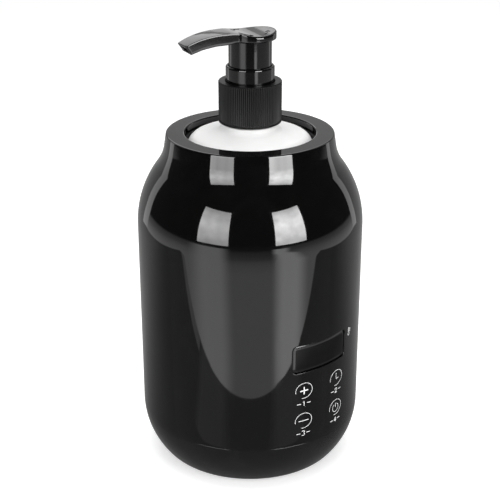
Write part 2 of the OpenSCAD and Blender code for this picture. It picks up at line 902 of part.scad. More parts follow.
module cup_support() {
    color("#3a3a3a")
    difference() {
        union() {
            translate([0, 0, pillar_z])
                cylinder(r = drum_r, h = cup_z - pillar_z);
            translate([0, 0, cup_z - drum_flange_t])
                cylinder(r = cup_or - loose, h = drum_flange_t);
            around(screw_angles, screw_r)
                translate([0, 0, pillar_z])
                    cylinder(d = pillar_d, h = ear_t);
            around(screw_angles, 0)
                translate([drum_r - drum_wall, -drum_arm_w / 2, pillar_z])
                    cube([screw_r - drum_r + drum_wall, drum_arm_w, ear_t]);
        }
        // Hollow of the drum, with two lugs left standing for the bracket
        difference() {
            translate([0, 0, pillar_z - cut])
                cylinder(r = drum_r - drum_wall, h = cup_z - drum_flange_t - pillar_z + cut);
            for (x = [-1, 1])
                translate([x * lug_x - lug_w / 2, -bracket_w / 2, bracket_z + bracket_t])
                    cube([lug_w, bracket_w, cup_z]);
        }
        translate([0, 0, pillar_z])
            cylinder(r = drum_flange_ir, h = cup_z);
        translate([-back_window_w / 2, 0, pillar_z - cut])
            cube([back_window_w, reach, drum_window_h + cut]);
        translate([-front_window_w / 2, -reach, pillar_z - cut])
            cube([front_window_w, reach, drum_window_h + cut]);
        around(screw_angles, screw_r)
            translate([0, 0, pillar_z - cut])
                cylinder(d = base_screw_d + screw_gap, h = ear_t + 2 * cut);
        for (x = [-1, 1])
            translate([x * lug_x, 0, bracket_z])
                cylinder(d = bracket_screw_d + screw_fit, h = bracket_screw_l);
    }
}

module temperature_sensor() {
    color("#c0c0c0")
    translate([sensor_x, 0, cup_z - sensor_h])
        cylinder(d = sensor_d, h = sensor_h);
}

module thermal_cutout() {
    color("#e8e2d0")
    translate([-sensor_x - cutout_size.x / 2, -cutout_size.y / 2, cup_z - sensor_h])
        cube([cutout_size.x, cutout_size.y, sensor_h]);
}

module sensor_bracket() {
    color("#b0b3b6")
    difference() {
        translate([-lug_x - lug_w / 2, -bracket_w / 2, bracket_z])
            cube([2 * lug_x + lug_w, bracket_w, bracket_t]);
        for (x = [-1, 1])
            translate([x * lug_x, 0, bracket_z - cut])
                cylinder(d = bracket_screw_d + screw_gap, h = bracket_t + 2 * cut);
    }
}

module bracket_screws() {
    color("silver")
    for (x = [-1, 1])
        translate([x * lug_x, 0, bracket_z])
            screw(bracket_head, bracket_screw_d, bracket_screw_l);
}

module power_board() {
    color("darkgreen")
    translate([0, 0, board_z])
        difference() {
            cylinder(r = board_r, h = board_t);
            around(board_screw_angles, board_screw_r)
                translate([0, 0, -cut])
                    cylinder(d = board_screw_d + screw_gap, h = board_t + 2 * cut);
        }
}

module power_board_screws() {
    color("silver")
    around(board_screw_angles, board_screw_r)
        translate([0, 0, board_top])
            mirror([0, 0, 1])
                screw(board_head, board_screw_d, board_screw_l);
}

module relay() {
    color("#1d3f7a")
    translate([relay_at.x - relay_size.x / 2, relay_at.y - relay_size.y / 2, board_top])
        cube(relay_size);
}

module capacitor() {
    color("#26324a")
    translate([capacitor_at.x, capacitor_at.y, board_top])
        cylinder(d = capacitor_d, h = capacitor_h);
}

module buzzer() {
    color("#202020")
    translate([buzzer_at.x, buzzer_at.y, board_top])
        difference() {
            cylinder(d = buzzer_d, h = buzzer_h);
            translate([0, 0, buzzer_h / 2])
                cylinder(d = buzzer_port_d, h = buzzer_h);
        }
}

// Block on the power board, round x and y
module connector(x, y, w) {
    translate([x - w / 2, y - connector_d / 2, board_top])
        cube([w, connector_d, connector_h]);
}

module board_connectors() {
    color("ivory") {
        connector(0, connector_y, back_connector_w);
        connector(0, -connector_y, front_connector_w);
        connector(sensor_connector_at.x, sensor_connector_at.y, sensor_connector_w);
        translate([-header_w / 2, -panel_back_y, header_z])
            cube([header_w, header_t, header_h]);
    }
}

module power_socket() {
    color("#202022") {
        difference() {
            union() {
                along_y(0, socket_z, socket_d, socket_rear_y, socket_front_y);
                along_y(0, socket_z, socket_flange_d, socket_seat_y, socket_front_y);
            }
            along_y(0, socket_z, socket_bore, socket_front_y - socket_bore_l, socket_front_y + cut);
        }
        along_y(0, socket_z, socket_pin_d, socket_front_y - socket_bore_l - cut,
            socket_front_y - socket_bore_l + socket_pin_l);
    }
}

module socket_nut() {
    color("#c4c6c8")
    difference() {
        along_y(0, socket_z, nut_d, socket_pad_y - nut_t, socket_pad_y, nut_sides);
        along_y(0, socket_z, socket_d + 2 * fit, socket_pad_y - nut_t - cut, socket_pad_y + cut);
    }
}

module socket_leads() {
    color("#a01818")
    for (r = socket_routes)
        sweep(r, circle_points(wire_r, 8));
}

module heater_leads() {
    color("white")
    for (r = heater_routes)
        sweep(r, circle_points(wire_r, 8));
}

module sensor_leads() {
    color("#d0b020")
    for (r = sensor_routes)
        sweep(r, circle_points(thin_wire_r, 8));
}

module cutout_leads() {
    color("#2050a0")
    for (r = cutout_routes)
        sweep(r, circle_points(thin_wire_r, 8));
}

module panel_cable() {
    color("#8a8a8a")
    sweep(panel_route, [for (q = [[-1, -1], [1, -1], [1, 1], [-1, 1]])
        [q.x * ribbon_size.x / 2, q.y * ribbon_size.y / 2]]);
}

// Thread ridge from radius root to radius tip, starting at height z
module thread(root, tip, z) {
    n = ceil(thread_steps * thread_turns);
    sections = [for (i = [0 : n])
        let (fade = min(1, thread_start + min(i, n - i) / thread_fade), a = 360 * thread_turns * i / n,
            h = z + thread_pitch * thread_turns * i / n, r = root + (tip - root) * fade)
            [for (q = [[root, -thread_root_w], [r, -thread_tip_w], [r, thread_tip_w], [root, thread_root_w]])
                [q.x * cos(a), q.x * sin(a), h + q.y / 2]]];
    faces = ring_faces(n + 1, 4);
    polyhedron([for (s = sections) each s], tip > root ? faces : flip(faces));
}

// Half outline of the bottle under its neck, inset by t, with its floor at the given thickness
module bottle_area(t, floor_t) {
    low = bottle_z + bottle_foot_r;
    dome = dome_z - t / cos(dome_deg);
    translate([0, low])
        square([bottle_r - t, dome_c.y - low]);
    translate([0, bottle_z + floor_t])
        square([bottle_r - bottle_foot_r, bottle_foot_r]);
    intersection() {
        translate([bottle_r - bottle_foot_r, low])
            circle(bottle_foot_r - t);
        translate([0, bottle_z + floor_t])
            square([bottle_r, bottle_h]);
    }
    slice(dome_c, bottle_shoulder_r - t, 0, 90 - dome_deg);
    polygon([[0, dome_c.y - cut], [dome_c.x, dome_c.y - cut], dome_c,
        polar(dome_c, bottle_shoulder_r - t, 90 - dome_deg), [neck_base_r, dome], [0, dome]]);
}

module bottle() {
    color("#f2f2ee")
    union() {
        rotate_extrude()
            difference() {
                union() {
                    bottle_area(0, 0);
                    translate([0, dome_z - cut])
                        square([neck_base_r, neck_base_h + cut]);
                    translate([0, bottle_top - cut])
                        square([finish_r, finish_top - bottle_top + cut]);
                }
                bottle_area(bottle_wall, bottle_floor_t);
                translate([0, dome_z - 2 * bottle_wall])
                    square([finish_bore / 2, reach]);
                translate([0, bottle_z - cut])
                    square([bottle_dent.x, bottle_dent.y + cut]);
            }
        thread(finish_r - thread_sink, finish_r + thread_h, thread_z);
    }
}

// Star-shaped outline of the grip ribs
function rib_points() = [for (i = [0 : closure_ribs - 1],
    q = [[0, closure_rib_r - rib_sink], [rib_flank, closure_r], [1 - rib_flank, closure_r]])
        polar([0, 0], q[1], (i + q[0]) * 360 / closure_ribs)];

module closure() {
    color("#26262a")
    union() {
        difference() {
            union() {
                rotate_extrude()
                    polygon([[0, closure_z], [closure_rib_r, closure_z],
                        [closure_rib_r, closure_top - closure_edge],
                        [closure_rib_r - closure_edge, closure_top], [0, closure_top]]);
                translate([0, 0, closure_z + closure_band])
                    linear_extrude(height = closure_h - closure_band - 2 * closure_edge)
                        polygon(rib_points());
            }
            translate([0, 0, closure_z - cut])
                cylinder(r = closure_ir, h = closure_h - closure_plate_t + cut);
            translate([0, 0, closure_z])
                cylinder(r = collar_r + loose, h = closure_h + cut);
        }
        thread(closure_ir + thread_sink, finish_r + thread_gap, thread_z - thread_pitch / 2);
    }
}

module lock_collar() {
    color("#1b1b1e")
    rotate_extrude()
        difference() {
            translate([stem_r + piston_gap, flange_top])
                square([collar_r - stem_r - piston_gap, collar_top - flange_top]);
            translate([guide_r, flange_top + collar_floor_t])
                square([collar_ir - guide_r, reach]);
            translate([0, flange_top + collar_floor_t + guide_h])
                square([collar_ir, reach]);
            corner_cut([collar_r, collar_top], collar_edge_r, 1, 1);
        }
}

module pump_housing() {
    color("#e4e4e0")
    rotate_extrude()
        difference() {
            union() {
                translate([0, flange_z])
                    square([flange_r, flange_t]);
                translate([0, seat_z])
                    square([housing_r, flange_z - seat_z]);
                translate([0, tail_z])
                    square([tail_r, tail_l]);
            }
            translate([0, ledge_z])
                square([pump_bore / 2, reach]);
            translate([0, seat_z + seat_t])
                square([ball_room_r, reach]);
            translate([0, tail_z - cut])
                square([ball_seat_r, reach]);
            translate([0, tail_z - cut])
                square([dip_d / 2 + fit, tail_l + cut]);
        }
}

module neck_gasket() {
    color("#f0efe6")
    translate([0, 0, finish_top])
        difference() {
            cylinder(r = flange_r - thread_gap, h = gasket_t);
            translate([0, 0, -cut])
                cylinder(r = gasket_ir, h = gasket_t + 2 * cut);
        }
}

module dip_tube() {
    color("#eef2f2")
    translate([0, 0, bottle_z + bottle_floor_t + dip_foot])
        difference() {
            cylinder(d = dip_d, h = seat_z - bottle_z - bottle_floor_t - dip_foot);
            translate([0, 0, -cut])
                cylinder(r = dip_d / 2 - dip_wall, h = body_h);
        }
}

module check_ball() {
    color("#9aa0a6")
    translate([0, 0, seat_z + seat_t + sqrt(pow(ball_r, 2) - pow(ball_seat_r, 2)) + ball_gap])
        sphere(r = ball_r);
}

// Middle of the spring's wire at ring i of n
function spring_point(i, n) =
    let (a = 360 * i / spring_rings, low = ledge_z + spring_wire / 2 + spring_room)
        [spring_r * cos(a), spring_r * sin(a), low + (spring_l - spring_wire - 2 * spring_room) * i / n];

module return_spring() {
    n = spring_turns * spring_rings;
    middle = [for (i = [0 : n]) spring_point(i, n)];
    color("#b8bcc2")
    polyhedron([for (i = [0 : n], j = [0 : spring_sides - 1])
        let (a = 360 * i / spring_rings, b = 360 * j / spring_sides, out = spring_wire / 2 * cos(b))
            middle[i] + [out * cos(a), out * sin(a), spring_wire / 2 * sin(b)]],
        ring_faces(n + 1, spring_sides));
    echo(spring_self_gap = min([for (i = [0 : n], j = [i + spring_rings / 2 : n])
        norm(middle[i] - middle[j]) - spring_wire]));
}

module piston() {
    color("#f4f4f0")
    translate([0, 0, stem_z + seat_flange_t + piston_gap])
        difference() {
            cylinder(r = pump_bore / 2 - piston_gap, h = piston_h);
            translate([0, 0, -cut])
                cylinder(r = stem_r + piston_gap, h = piston_h + 2 * cut);
        }
}

module pump_stem() {
    color("#f4f4f0")
    translate([0, 0, stem_z])
        difference() {
            union() {
                cylinder(r = stem_r, h = stem_top - stem_z);
                cylinder(r = seat_flange_r, h = seat_flange_t);
            }
            translate([0, 0, stem_port_z - stem_z])
                cylinder(r = stem_bore_r, h = body_h);
        }
}

// Heights of the spout's upper line, with its hump, and lower line at a distance u from the axis
function spout_share(u, end) = max(0, u - spout_bend) / (end - spout_bend);
function hump_share(u) = min(1, max(0, (u - hump_from) / (hump_to - hump_from)));
function spout_upper(u) = head_top - spout_dip
    + (spout_dip + spout_hump) * pow(hump_share(u), 2) * (3 - 2 * hump_share(u))
    - spout_drop * pow(spout_share(u, spout_reach), spout_upper_curve);
function spout_lower(u) = skirt_top - spout_overlap
    - spout_foot_drop * pow(spout_share(u, spout_reach - spout_cut), spout_lower_curve);

// Spout along +X, from inside the thumb plate to its slanted tip
module spout() {
    c = spout_chamfer;
    w = spout_w / 2;
    points = [for (i = [0 : spout_steps])
        let (s = i / spout_steps, u = spout_root + s * (spout_reach - spout_root),
            v = spout_root + s * (spout_reach - spout_cut - spout_root),
            top = [u, spout_upper(u)], low = [v, spout_lower(v)], d = unit(top - low))
            for (q = [[low, -w + c, 0], [low, -w, c], [top, -w, -c], [top, -w + c, 0], [top, w - c, 0],
                [top, w, -c], [low, w, c], [low, w - c, 0]])
                let (p = q[0] + q[2] * d) [p.x, q[1], p.y]];
    polyhedron(points, ring_faces(spout_steps + 1, 8));
}

module pump_head() {
    tip = [spout_reach - spout_cut / 2,
        (spout_upper(spout_reach) + spout_lower(spout_reach - spout_cut)) / 2];
    bend = [channel_bend, channel_z];
    run = tip - bend;
    color("#26262a")
    rotate([0, 0, spout_angle])
    difference() {
        union() {
            rotate_extrude()
                difference() {
                    polygon([[0, skirt_bottom], [skirt_r, skirt_bottom], [skirt_r, skirt_top],
                        [plate_r, head_top - plate_rim_t - plate_edge_r],
                        [plate_r, head_top], [0, head_top]]);
                    corner_cut([plate_r, head_top], plate_edge_r, 1, 1);
                    // Hollow of the skirt round the stem's socket
                    translate([stem_r + socket_wall, skirt_bottom - cut])
                        square([skirt_r - skirt_wall - stem_r - socket_wall, skirt_top - skirt_bottom]);
                    translate([0, skirt_bottom - cut])
                        square([skirt_r - skirt_wall, stem_top - stem_socket_l - skirt_bottom + cut]);
                }
            spout();
        }
        translate([0, 0, skirt_bottom])
            cylinder(r = stem_r + fit, h = stem_top - skirt_bottom);
        translate([0, 0, skirt_bottom])
            cylinder(r = channel_r, h = channel_z - skirt_bottom);
        translate([0, 0, channel_z])
            rotate([0, 90, 0])
                cylinder(r = channel_r, h = channel_bend + nozzle_lap);
        translate([bend.x, 0, bend.y])
            rotate([0, 90 - atan2(run.y, run.x), 0])
                cylinder(r = nozzle_r, h = norm(run) + spout_cut);
    }
}

outer_shell();
base_cover();
foot(1);  // foot_1
foot(2);  // foot_2
foot(3);  // foot_3
foot(4);  // foot_4
base_screws();
display_window();
display_module();
control_board();
controller_chip();
board_screws();
touch_pad(1);  // touch_pad_1
touch_pad(2);  // touch_pad_2
touch_pad(3);  // touch_pad_3
touch_pad(4);  // touch_pad_4
heater_cup();
cup_seal();
cup_pad();
heater_band();
felt_sleeve();
strap(felt_top - strap_inset - strap_h);  // upper_strap
strap(heater_z + strap_inset);  // lower_strap
cup_support();
temperature_sensor();
thermal_cutout();
sensor_bracket();
bracket_screws();
power_board();
power_board_screws();
relay();
capacitor();
buzzer();
board_connectors();
power_socket();
socket_nut();
socket_leads();
heater_leads();
sensor_leads();
cutout_leads();
panel_cable();
bottle();
closure();
lock_collar();
pump_housing();
neck_gasket();
dip_tube();
check_ball();
return_spring();
piston();
pump_stem();
pump_head();
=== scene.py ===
"""Massage oil warmer: fine surfaces, finishes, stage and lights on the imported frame."""

import json
import logging
import math
from dataclasses import dataclass
from enum import Enum
from typing import Callable, Sequence

import bmesh
import bpy
from mathutils import Matrix, Vector


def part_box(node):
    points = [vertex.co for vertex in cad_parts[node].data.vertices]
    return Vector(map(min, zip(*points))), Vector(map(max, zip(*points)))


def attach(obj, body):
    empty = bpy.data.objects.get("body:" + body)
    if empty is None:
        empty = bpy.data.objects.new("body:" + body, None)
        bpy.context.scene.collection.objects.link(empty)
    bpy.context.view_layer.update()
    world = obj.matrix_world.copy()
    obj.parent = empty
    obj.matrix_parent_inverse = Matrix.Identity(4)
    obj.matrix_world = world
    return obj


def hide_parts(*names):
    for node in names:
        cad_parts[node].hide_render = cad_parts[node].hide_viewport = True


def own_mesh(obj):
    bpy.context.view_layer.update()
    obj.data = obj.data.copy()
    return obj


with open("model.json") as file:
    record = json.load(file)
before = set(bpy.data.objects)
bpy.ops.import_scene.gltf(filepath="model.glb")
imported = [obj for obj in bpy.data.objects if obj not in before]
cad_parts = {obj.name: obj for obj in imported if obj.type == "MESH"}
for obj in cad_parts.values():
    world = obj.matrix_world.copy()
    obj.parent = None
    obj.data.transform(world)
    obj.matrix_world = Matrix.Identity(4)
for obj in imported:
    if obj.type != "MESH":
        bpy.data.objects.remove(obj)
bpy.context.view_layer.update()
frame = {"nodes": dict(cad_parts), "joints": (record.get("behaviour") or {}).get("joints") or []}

LOG = logging.getLogger("oil_warmer")
MM = 0.001
# The width of one band of the wave texture at scale 1
WAVE = 0.314

Colour = tuple[float, float, float, float]
Point = tuple[float, float, float]
Flat = tuple[float, float]
Profile = tuple[Flat, ...]
Height = Callable[[float, float], float]
Inputs = dict[str | int, object]
Piece = bpy.types.Object


def grey(level: float) -> Colour:
    """Returns a neutral colour of one linear level."""
    return (level, level, level, 1.0)


# Shader values and graphs

class Signal:
    """One shader socket that takes part in Python arithmetic."""

    def __init__(self, graph: "Graph", socket: bpy.types.NodeSocket | None) -> None:
        """Keeps the graph and the socket that the value comes from."""
        self.graph = graph
        self.socket = socket

    def __add__(self, other: "Signal | float") -> "Signal":
        """Adds two values."""
        return self.graph.math("ADD", self, other)

    __radd__ = __add__

    def __sub__(self, other: "Signal | float") -> "Signal":
        """Subtracts another value."""
        return self.graph.math("SUBTRACT", self, other)

    def __rsub__(self, other: float) -> "Signal":
        """Subtracts the value from a number."""
        return self.graph.math("SUBTRACT", other, self)

    def __mul__(self, other: "Signal | float") -> "Signal":
        """Multiplies two values."""
        return self.graph.math("MULTIPLY", self, other)

    __rmul__ = __mul__

    def ramp(self, low: float, high: float) -> "Signal":
        """Eases the value from 0 at low to 1 at high.

        Args:
            low: The value that gives 0.
            high: The value that gives 1.

        Returns:
            The eased value.
        """
        return self.graph.node(
            "ShaderNodeMapRange",
            {"interpolation_type": "SMOOTHSTEP", "clamp": True},
            {"Value": self, "From Min": low, "From Max": high, "To Min": 0.0, "To Max": 1.0},
        )


class Graph:
    """The node tree of one material or of the world, written as expressions."""

    def __init__(self, owner: bpy.types.Material | bpy.types.World) -> None:
        """Clears the owner's nodes.

        Args:
            owner: The material or world that the nodes belong to.
        """
        owner.use_nodes = True
        self.tree = owner.node_tree
        self.tree.nodes.clear()

    def node(
        self,
        kind: str,
        settings: dict[str, object] | None = None,
        inputs: Inputs | None = None,
        output: str | int = 0,
    ) -> Signal:
        """Adds one node.

        Args:
            kind: The node's type.
            settings: Its own properties, set before anything is linked.
            inputs: Values or signals for its sockets.
            output: The socket that the signal comes from.

        Returns:
            The signal of that output.
        """
        item = self.tree.nodes.new(kind)
        for key, value in (settings or {}).items():
            setattr(item, key, value)
        for key, value in (inputs or {}).items():
            if isinstance(value, Signal):
                self.tree.links.new(value.socket, item.inputs[key])
            else:
                item.inputs[key].default_value = value
        return Signal(self, item.outputs[output] if item.outputs else None)

    def math(self, operation: str, first: Signal | float, second: Signal | float) -> Signal:
        """Adds one Math node over two values."""
        return self.node("ShaderNodeMath", {"operation": operation}, {0: first, 1: second})

    def mix(self, factor: Signal, low: Signal | Colour, high: Signal | Colour) -> Signal:
        """Mixes two colours by a factor."""
        return self.node("ShaderNodeMix", {"data_type": "RGBA"}, {0: factor, 6: low, 7: high}, 2)

    def place(self, stretch: Point = (1.0, 1.0, 1.0)) -> Signal:
        """Gives the piece's own coordinates in millimetres.

        Args:
            stretch: How much each axis is stretched.

        Returns:
            The coordinates as a vector.
        """
        spot = self.node("ShaderNodeTexCoord", output="Object")
        scale = tuple(1.0 / (MM * side) for side in stretch)
        return self.node("ShaderNodeVectorMath", {"operation": "MULTIPLY"}, {0: spot, 1: scale})

    def reach(self, place: Signal, along: Point | None = None) -> Signal:
        """Measures the distance from the origin, or along one direction."""
        way = {"operation": "DOT_PRODUCT" if along else "LENGTH"}
        return self.node("ShaderNodeVectorMath", way, {0: place, 1: along or (0.0, 0.0, 0.0)}, "Value")

    def noise(self, place: Signal, size: float, detail: float = 2.0, warp: float = 0.0) -> Signal:
        """Adds a noise pattern.

        Args:
            place: The coordinates in millimetres.
            size: The size of one patch in millimetres.
            detail: How many finer layers it has.
            warp: How much the pattern is distorted.

        Returns:
            The pattern from 0 to 1.
        """
        return self.node(
            "ShaderNodeTexNoise", {"noise_dimensions": "3D"},
            {"Vector": place, "Scale": 1.0 / size, "Detail": detail, "Distortion": warp},
        )

    def cells(self, place: Signal, size: float) -> Signal:
        """Adds a cell pattern and gives the distance to the nearest cell's middle."""
        return self.node("ShaderNodeTexVoronoi", {"feature": "F1"}, {"Vector": place, "Scale": 1.0 / size})

    def edges(self, low: float = 0.52, high: float = 0.62) -> Signal:
        """Finds the piece's convex edges."""
        return self.node("ShaderNodeNewGeometry", output="Pointiness").ramp(low, high)

    def seen(self) -> Signal:
        """Tells what the eye meets, straight on or by gloss or glass.

        Returns:
            A value of 1 for those paths of light and 0 for the others.
        """
        first, *rest = (self.node("ShaderNodeLightPath", output=name)
                        for name in ("Is Camera Ray", "Is Glossy Ray", "Is Transmission Ray"))
        for path in rest:
            first = self.math("MAXIMUM", first, path)
        return first

    def mark(self, name: str) -> Signal:
        """Reads a value that the piece's points carry."""
        return self.node("ShaderNodeAttribute", {"attribute_name": name}, output="Fac")

    def bump(self, height: Signal, depth: float, under: Signal | None = None) -> Signal:
        """Turns a height into a surface normal.

        Args:
            height: The height pattern.
            depth: The depth of the pattern in millimetres.
            under: A normal that this one is laid over.

        Returns:
            The normal.
        """
        inputs: Inputs = {"Height": height, "Distance": depth * MM, "Strength": 1.0}
        if under is not None:
            inputs["Normal"] = under
        return self.node("ShaderNodeBump", inputs=inputs)

    def surface(self, inputs: Inputs) -> Signal:
        """Adds the main shader."""
        return self.node("ShaderNodeBsdfPrincipled", inputs=inputs)


# Finishes

@dataclass(frozen=True)
class Finish:
    """A named surface finish."""

    name: str

    def shader(self, graph: Graph) -> Signal:
        """Builds the finish's shader."""
        raise NotImplementedError

    def make(self) -> bpy.types.Material:
        """Makes the material.

        Returns:
            The new material.
        """
        material = bpy.data.materials.new(self.name)
        graph = Graph(material)
        graph.node("ShaderNodeOutputMaterial", inputs={"Surface": self.shader(graph)})
        return material


@dataclass(frozen=True)
class Moulded(Finish):
    """A moulded plastic, rubber or silicone with a fine skin.

    The tone drifts between two colours over patches, a fine grain lies over it, the convex
    edges are rubbed paler and smoother, and marked crests are lightened towards the worn
    colour as a painted highlight of the light that the crests catch.
    """

    colour: Colour = grey(0.02)
    drift: Colour = grey(0.03)
    worn: Colour = grey(0.06)
    wear: float = 0.3
    roughness: float = 0.4
    polish: float = 0.1
    patch: float = 14.0
    grain: float = 0.4
    depth: float = 0.004
    ior: float = 1.5
    soft: float = 0.0
    soft_reach: float = 1.5
    # Share of the painted highlight on marked rib crests
    crest_highlight: float = 0.0

    def shader(self, graph: Graph) -> Signal:
        """Builds the moulded skin.

        Args:
            graph: The finish's graph.

        Returns:
            The shader.
        """
        place = graph.place()
        tone = graph.noise(place, self.patch, detail=3.0, warp=0.4)
        grain = graph.noise(place, self.grain)
        rubbed = graph.edges() * self.wear
        colour = graph.mix(tone.ramp(0.3, 0.7), self.colour, self.drift)
        colour = graph.mix(rubbed * grain, colour, self.worn)
        # Painted highlight: marked rib crests are lightened towards the worn colour, standing for the light
        # that they catch
        if self.crest_highlight:
            colour = graph.mix(graph.mark("rim") * self.crest_highlight, colour, self.worn)
        rough = self.roughness + (tone - 0.5) * self.polish + (grain - 0.5) * (self.polish * 0.5)
        return graph.surface({
            "Base Color": colour,
            "Roughness": rough - rubbed * (self.polish * 0.5),
            "IOR": self.ior,
            "Subsurface Weight": self.soft,
            "Subsurface Radius": (1.0, 1.0, 1.0),
            "Subsurface Scale": self.soft_reach * MM,
            "Normal": graph.bump(grain, self.depth),
        })


@dataclass(frozen=True)
class Polished(Finish):
    """A deep polished plastic with a faint swell, light haze and, where marked, a bright rim."""

    colour: Colour = grey(0.0012)
    drift: Colour = grey(0.002)
    worn: Colour = grey(0.012)
    roughness: float = 0.035
    haze: float = 0.02
    swell: float = 9.0
    swell_depth: float = 0.0012
    smear: float = 16.0
    speck: float = 0.35
    hair: float = 0.6
    hair_stretch: Point = (1.0, 1.0, 0.04)
    scratch_depth: float = 0.00025
    ior: float = 1.5
    rim: float = 0.0
    rim_roughness: float = 0.05

    def shader(self, graph: Graph) -> Signal:
        """Builds the polished skin.

        Args:
            graph: The finish's graph.

        Returns:
            The shader.
        """
        place = graph.place()
        smudge = graph.noise(place, self.smear, detail=4.0, warp=0.8).ramp(0.42, 0.72)
        speck = graph.noise(place, self.speck, detail=1.0)
        swell = graph.noise(place, self.swell, detail=1.0)
        hair = graph.noise(graph.place(self.hair_stretch), self.hair, warp=0.3)
        colour = graph.mix(smudge, self.colour, self.drift)
        colour = graph.mix(graph.edges(0.55, 0.7) * speck, colour, self.worn)
        rough = self.roughness + smudge * self.haze + (speck - 0.5) * (self.haze * 0.4)
        under = graph.bump(swell, self.swell_depth)
        return graph.surface({
            "Base Color": colour,
            "Roughness": rough,
            "IOR": self.ior,
            "Coat Weight": graph.mark("rim") * self.rim if self.rim else 0.0,
            "Coat Roughness": self.rim_roughness,
            "Normal": graph.bump(hair, self.scratch_depth, under),
        })


@dataclass(frozen=True)
class Metal(Finish):
    """A metal with tool marks drawn along one direction."""

    colour: Colour = grey(0.6)
    dull: Colour = grey(0.42)
    roughness: float = 0.3
    spread: float = 0.12
    stretch: Point = (1.0, 1.0, 14.0)
    mark: float = 0.25
    bloom: float = 7.0
    depth: float = 0.003

    def shader(self, graph: Graph) -> Signal:
        """Builds the tooled metal.

        Args:
            graph: The finish's graph.

        Returns:
            The shader.
        """
        marks = graph.noise(graph.place(self.stretch), self.mark, detail=3.0)
        bloom = graph.noise(graph.place(), self.bloom, detail=4.0, warp=0.5).ramp(0.35, 0.7)
        colour = graph.mix(bloom, self.colour, self.dull)
        rough = self.roughness + (marks - 0.5) * self.spread + bloom * (self.spread * 0.5)
        return graph.surface({
            "Base Color": colour,
            "Metallic": 1.0,
            "Roughness": rough - graph.edges() * (self.roughness * 0.3),
            "Normal": graph.bump(marks, self.depth),
        })


@dataclass(frozen=True)
class Felted(Finish):
    """Pressed felt or foam with short crossed fibres."""

    colour: Colour = (0.62, 0.6, 0.55, 1.0)
    shade: Colour = (0.42, 0.4, 0.36, 1.0)
    fibre: float = 0.5
    ways: tuple[Point, Point] = ((5.0, 1.0, 1.0), (1.0, 1.0, 6.0))
    tuft: float = 3.0
    depth: float = 0.12
    roughness: float = 0.86
    sheen: float = 0.3

    def shader(self, graph: Graph) -> Signal:
        """Builds the fibres.

        Args:
            graph: The finish's graph.

        Returns:
            The shader.
        """
        along, across = (graph.noise(graph.place(way), self.fibre, detail=3.0, warp=1.2) for way in self.ways)
        tuft = graph.noise(graph.place(), self.tuft, detail=3.0)
        pile = (along + across) * 0.5
        colour = graph.mix(pile.ramp(0.38, 0.62) * tuft, self.shade, self.colour)
        return graph.surface({
            "Base Color": colour,
            "Roughness": self.roughness + tuft * 0.1,
            "Sheen Weight": self.sheen,
            "Normal": graph.bump(pile, self.depth),
        })


@dataclass(frozen=True)
class Board(Finish):
    """A lacquered circuit board with copper runs under the lacquer."""

    colour: Colour = (0.012, 0.09, 0.035, 1.0)
    run: Colour = (0.03, 0.17, 0.06, 1.0)
    pad: Colour = (0.55, 0.54, 0.5, 1.0)
    pitch: float = 2.4
    run_width: float = 0.09
    pad_edge: Flat = (0.16, 0.2)
    cloth: float = 0.3
    roughness: float = 0.34
    depth: float = 0.03

    def shader(self, graph: Graph) -> Signal:
        """Builds the lacquer, the runs and the solder pads.

        Args:
            graph: The finish's graph.

        Returns:
            The shader.
        """
        place = graph.place()
        runs = graph.node(
            "ShaderNodeTexBrick", {"offset": 0.5, "squash": 1.0},
            {"Vector": place, "Scale": 1.0 / self.pitch, "Mortar Size": self.run_width,
             "Color1": grey(0.0), "Color2": grey(0.0), "Mortar": grey(1.0)},
            "Fac",
        )
        dots = 1.0 - graph.cells(place, self.pitch).ramp(*self.pad_edge)
        cloth = graph.noise(place, self.cloth, detail=1.0)
        colour = graph.mix(runs, self.colour, self.run)
        colour = graph.mix(dots, colour, self.pad)
        height = runs * 0.6 + dots + cloth * 0.15
        return graph.surface({
            "Base Color": colour,
            "Metallic": dots * 0.8,
            "Roughness": self.roughness + cloth * 0.14 - runs * 0.08,
            "Normal": graph.bump(height, self.depth),
        })


@dataclass(frozen=True)
class Film(Finish):
    """An amber heating film with an etched track that runs up and down."""

    colour: Colour = (0.42, 0.13, 0.015, 1.0)
    track: Colour = (0.62, 0.36, 0.16, 1.0)
    pitch: float = 3.2
    track_edge: Flat = (0.42, 0.58)
    crease: float = 6.0
    roughness: float = 0.22
    depth: float = 0.03

    def shader(self, graph: Graph) -> Signal:
        """Builds the film and its track.

        Args:
            graph: The finish's graph.

        Returns:
            The shader.
        """
        place = graph.place()
        lines = graph.node(
            "ShaderNodeTexWave", {"wave_type": "BANDS", "bands_direction": "Z"},
            {"Vector": place, "Scale": WAVE / self.pitch, "Distortion": 0.0, "Detail": 0.0}, 1,
        ).ramp(*self.track_edge)
        crease = graph.noise(place, self.crease, detail=4.0, warp=0.6)
        return graph.surface({
            "Base Color": graph.mix(lines * (0.7 + crease * 0.3), self.colour, self.track),
            "Metallic": lines * 0.45,
            "Roughness": self.roughness + crease * 0.18,
            "Normal": graph.bump(lines + crease * 0.5, self.depth),
        })


@dataclass(frozen=True)
class Clear(Finish):
    """A clear plastic that lets light through."""

    tint: Colour = grey(0.8)
    shade: Colour = grey(0.7)
    roughness: float = 0.08
    flow: float = 3.0
    flow_stretch: Point = (1.0, 1.0, 8.0)
    depth: float = 0.01
    ior: float = 1.49

    def shader(self, graph: Graph) -> Signal:
        """Builds the clear body with faint flow lines.

        Args:
            graph: The finish's graph.

        Returns:
            The shader.
        """
        flow = graph.noise(graph.place(self.flow_stretch), self.flow, detail=3.0, warp=0.4)
        return graph.surface({
            "Base Color": graph.mix(flow, self.tint, self.shade),
            "Roughness": self.roughness + flow * 0.06,
            "Transmission Weight": 1.0,
            "IOR": self.ior,
            "Normal": graph.bump(flow, self.depth),
        })


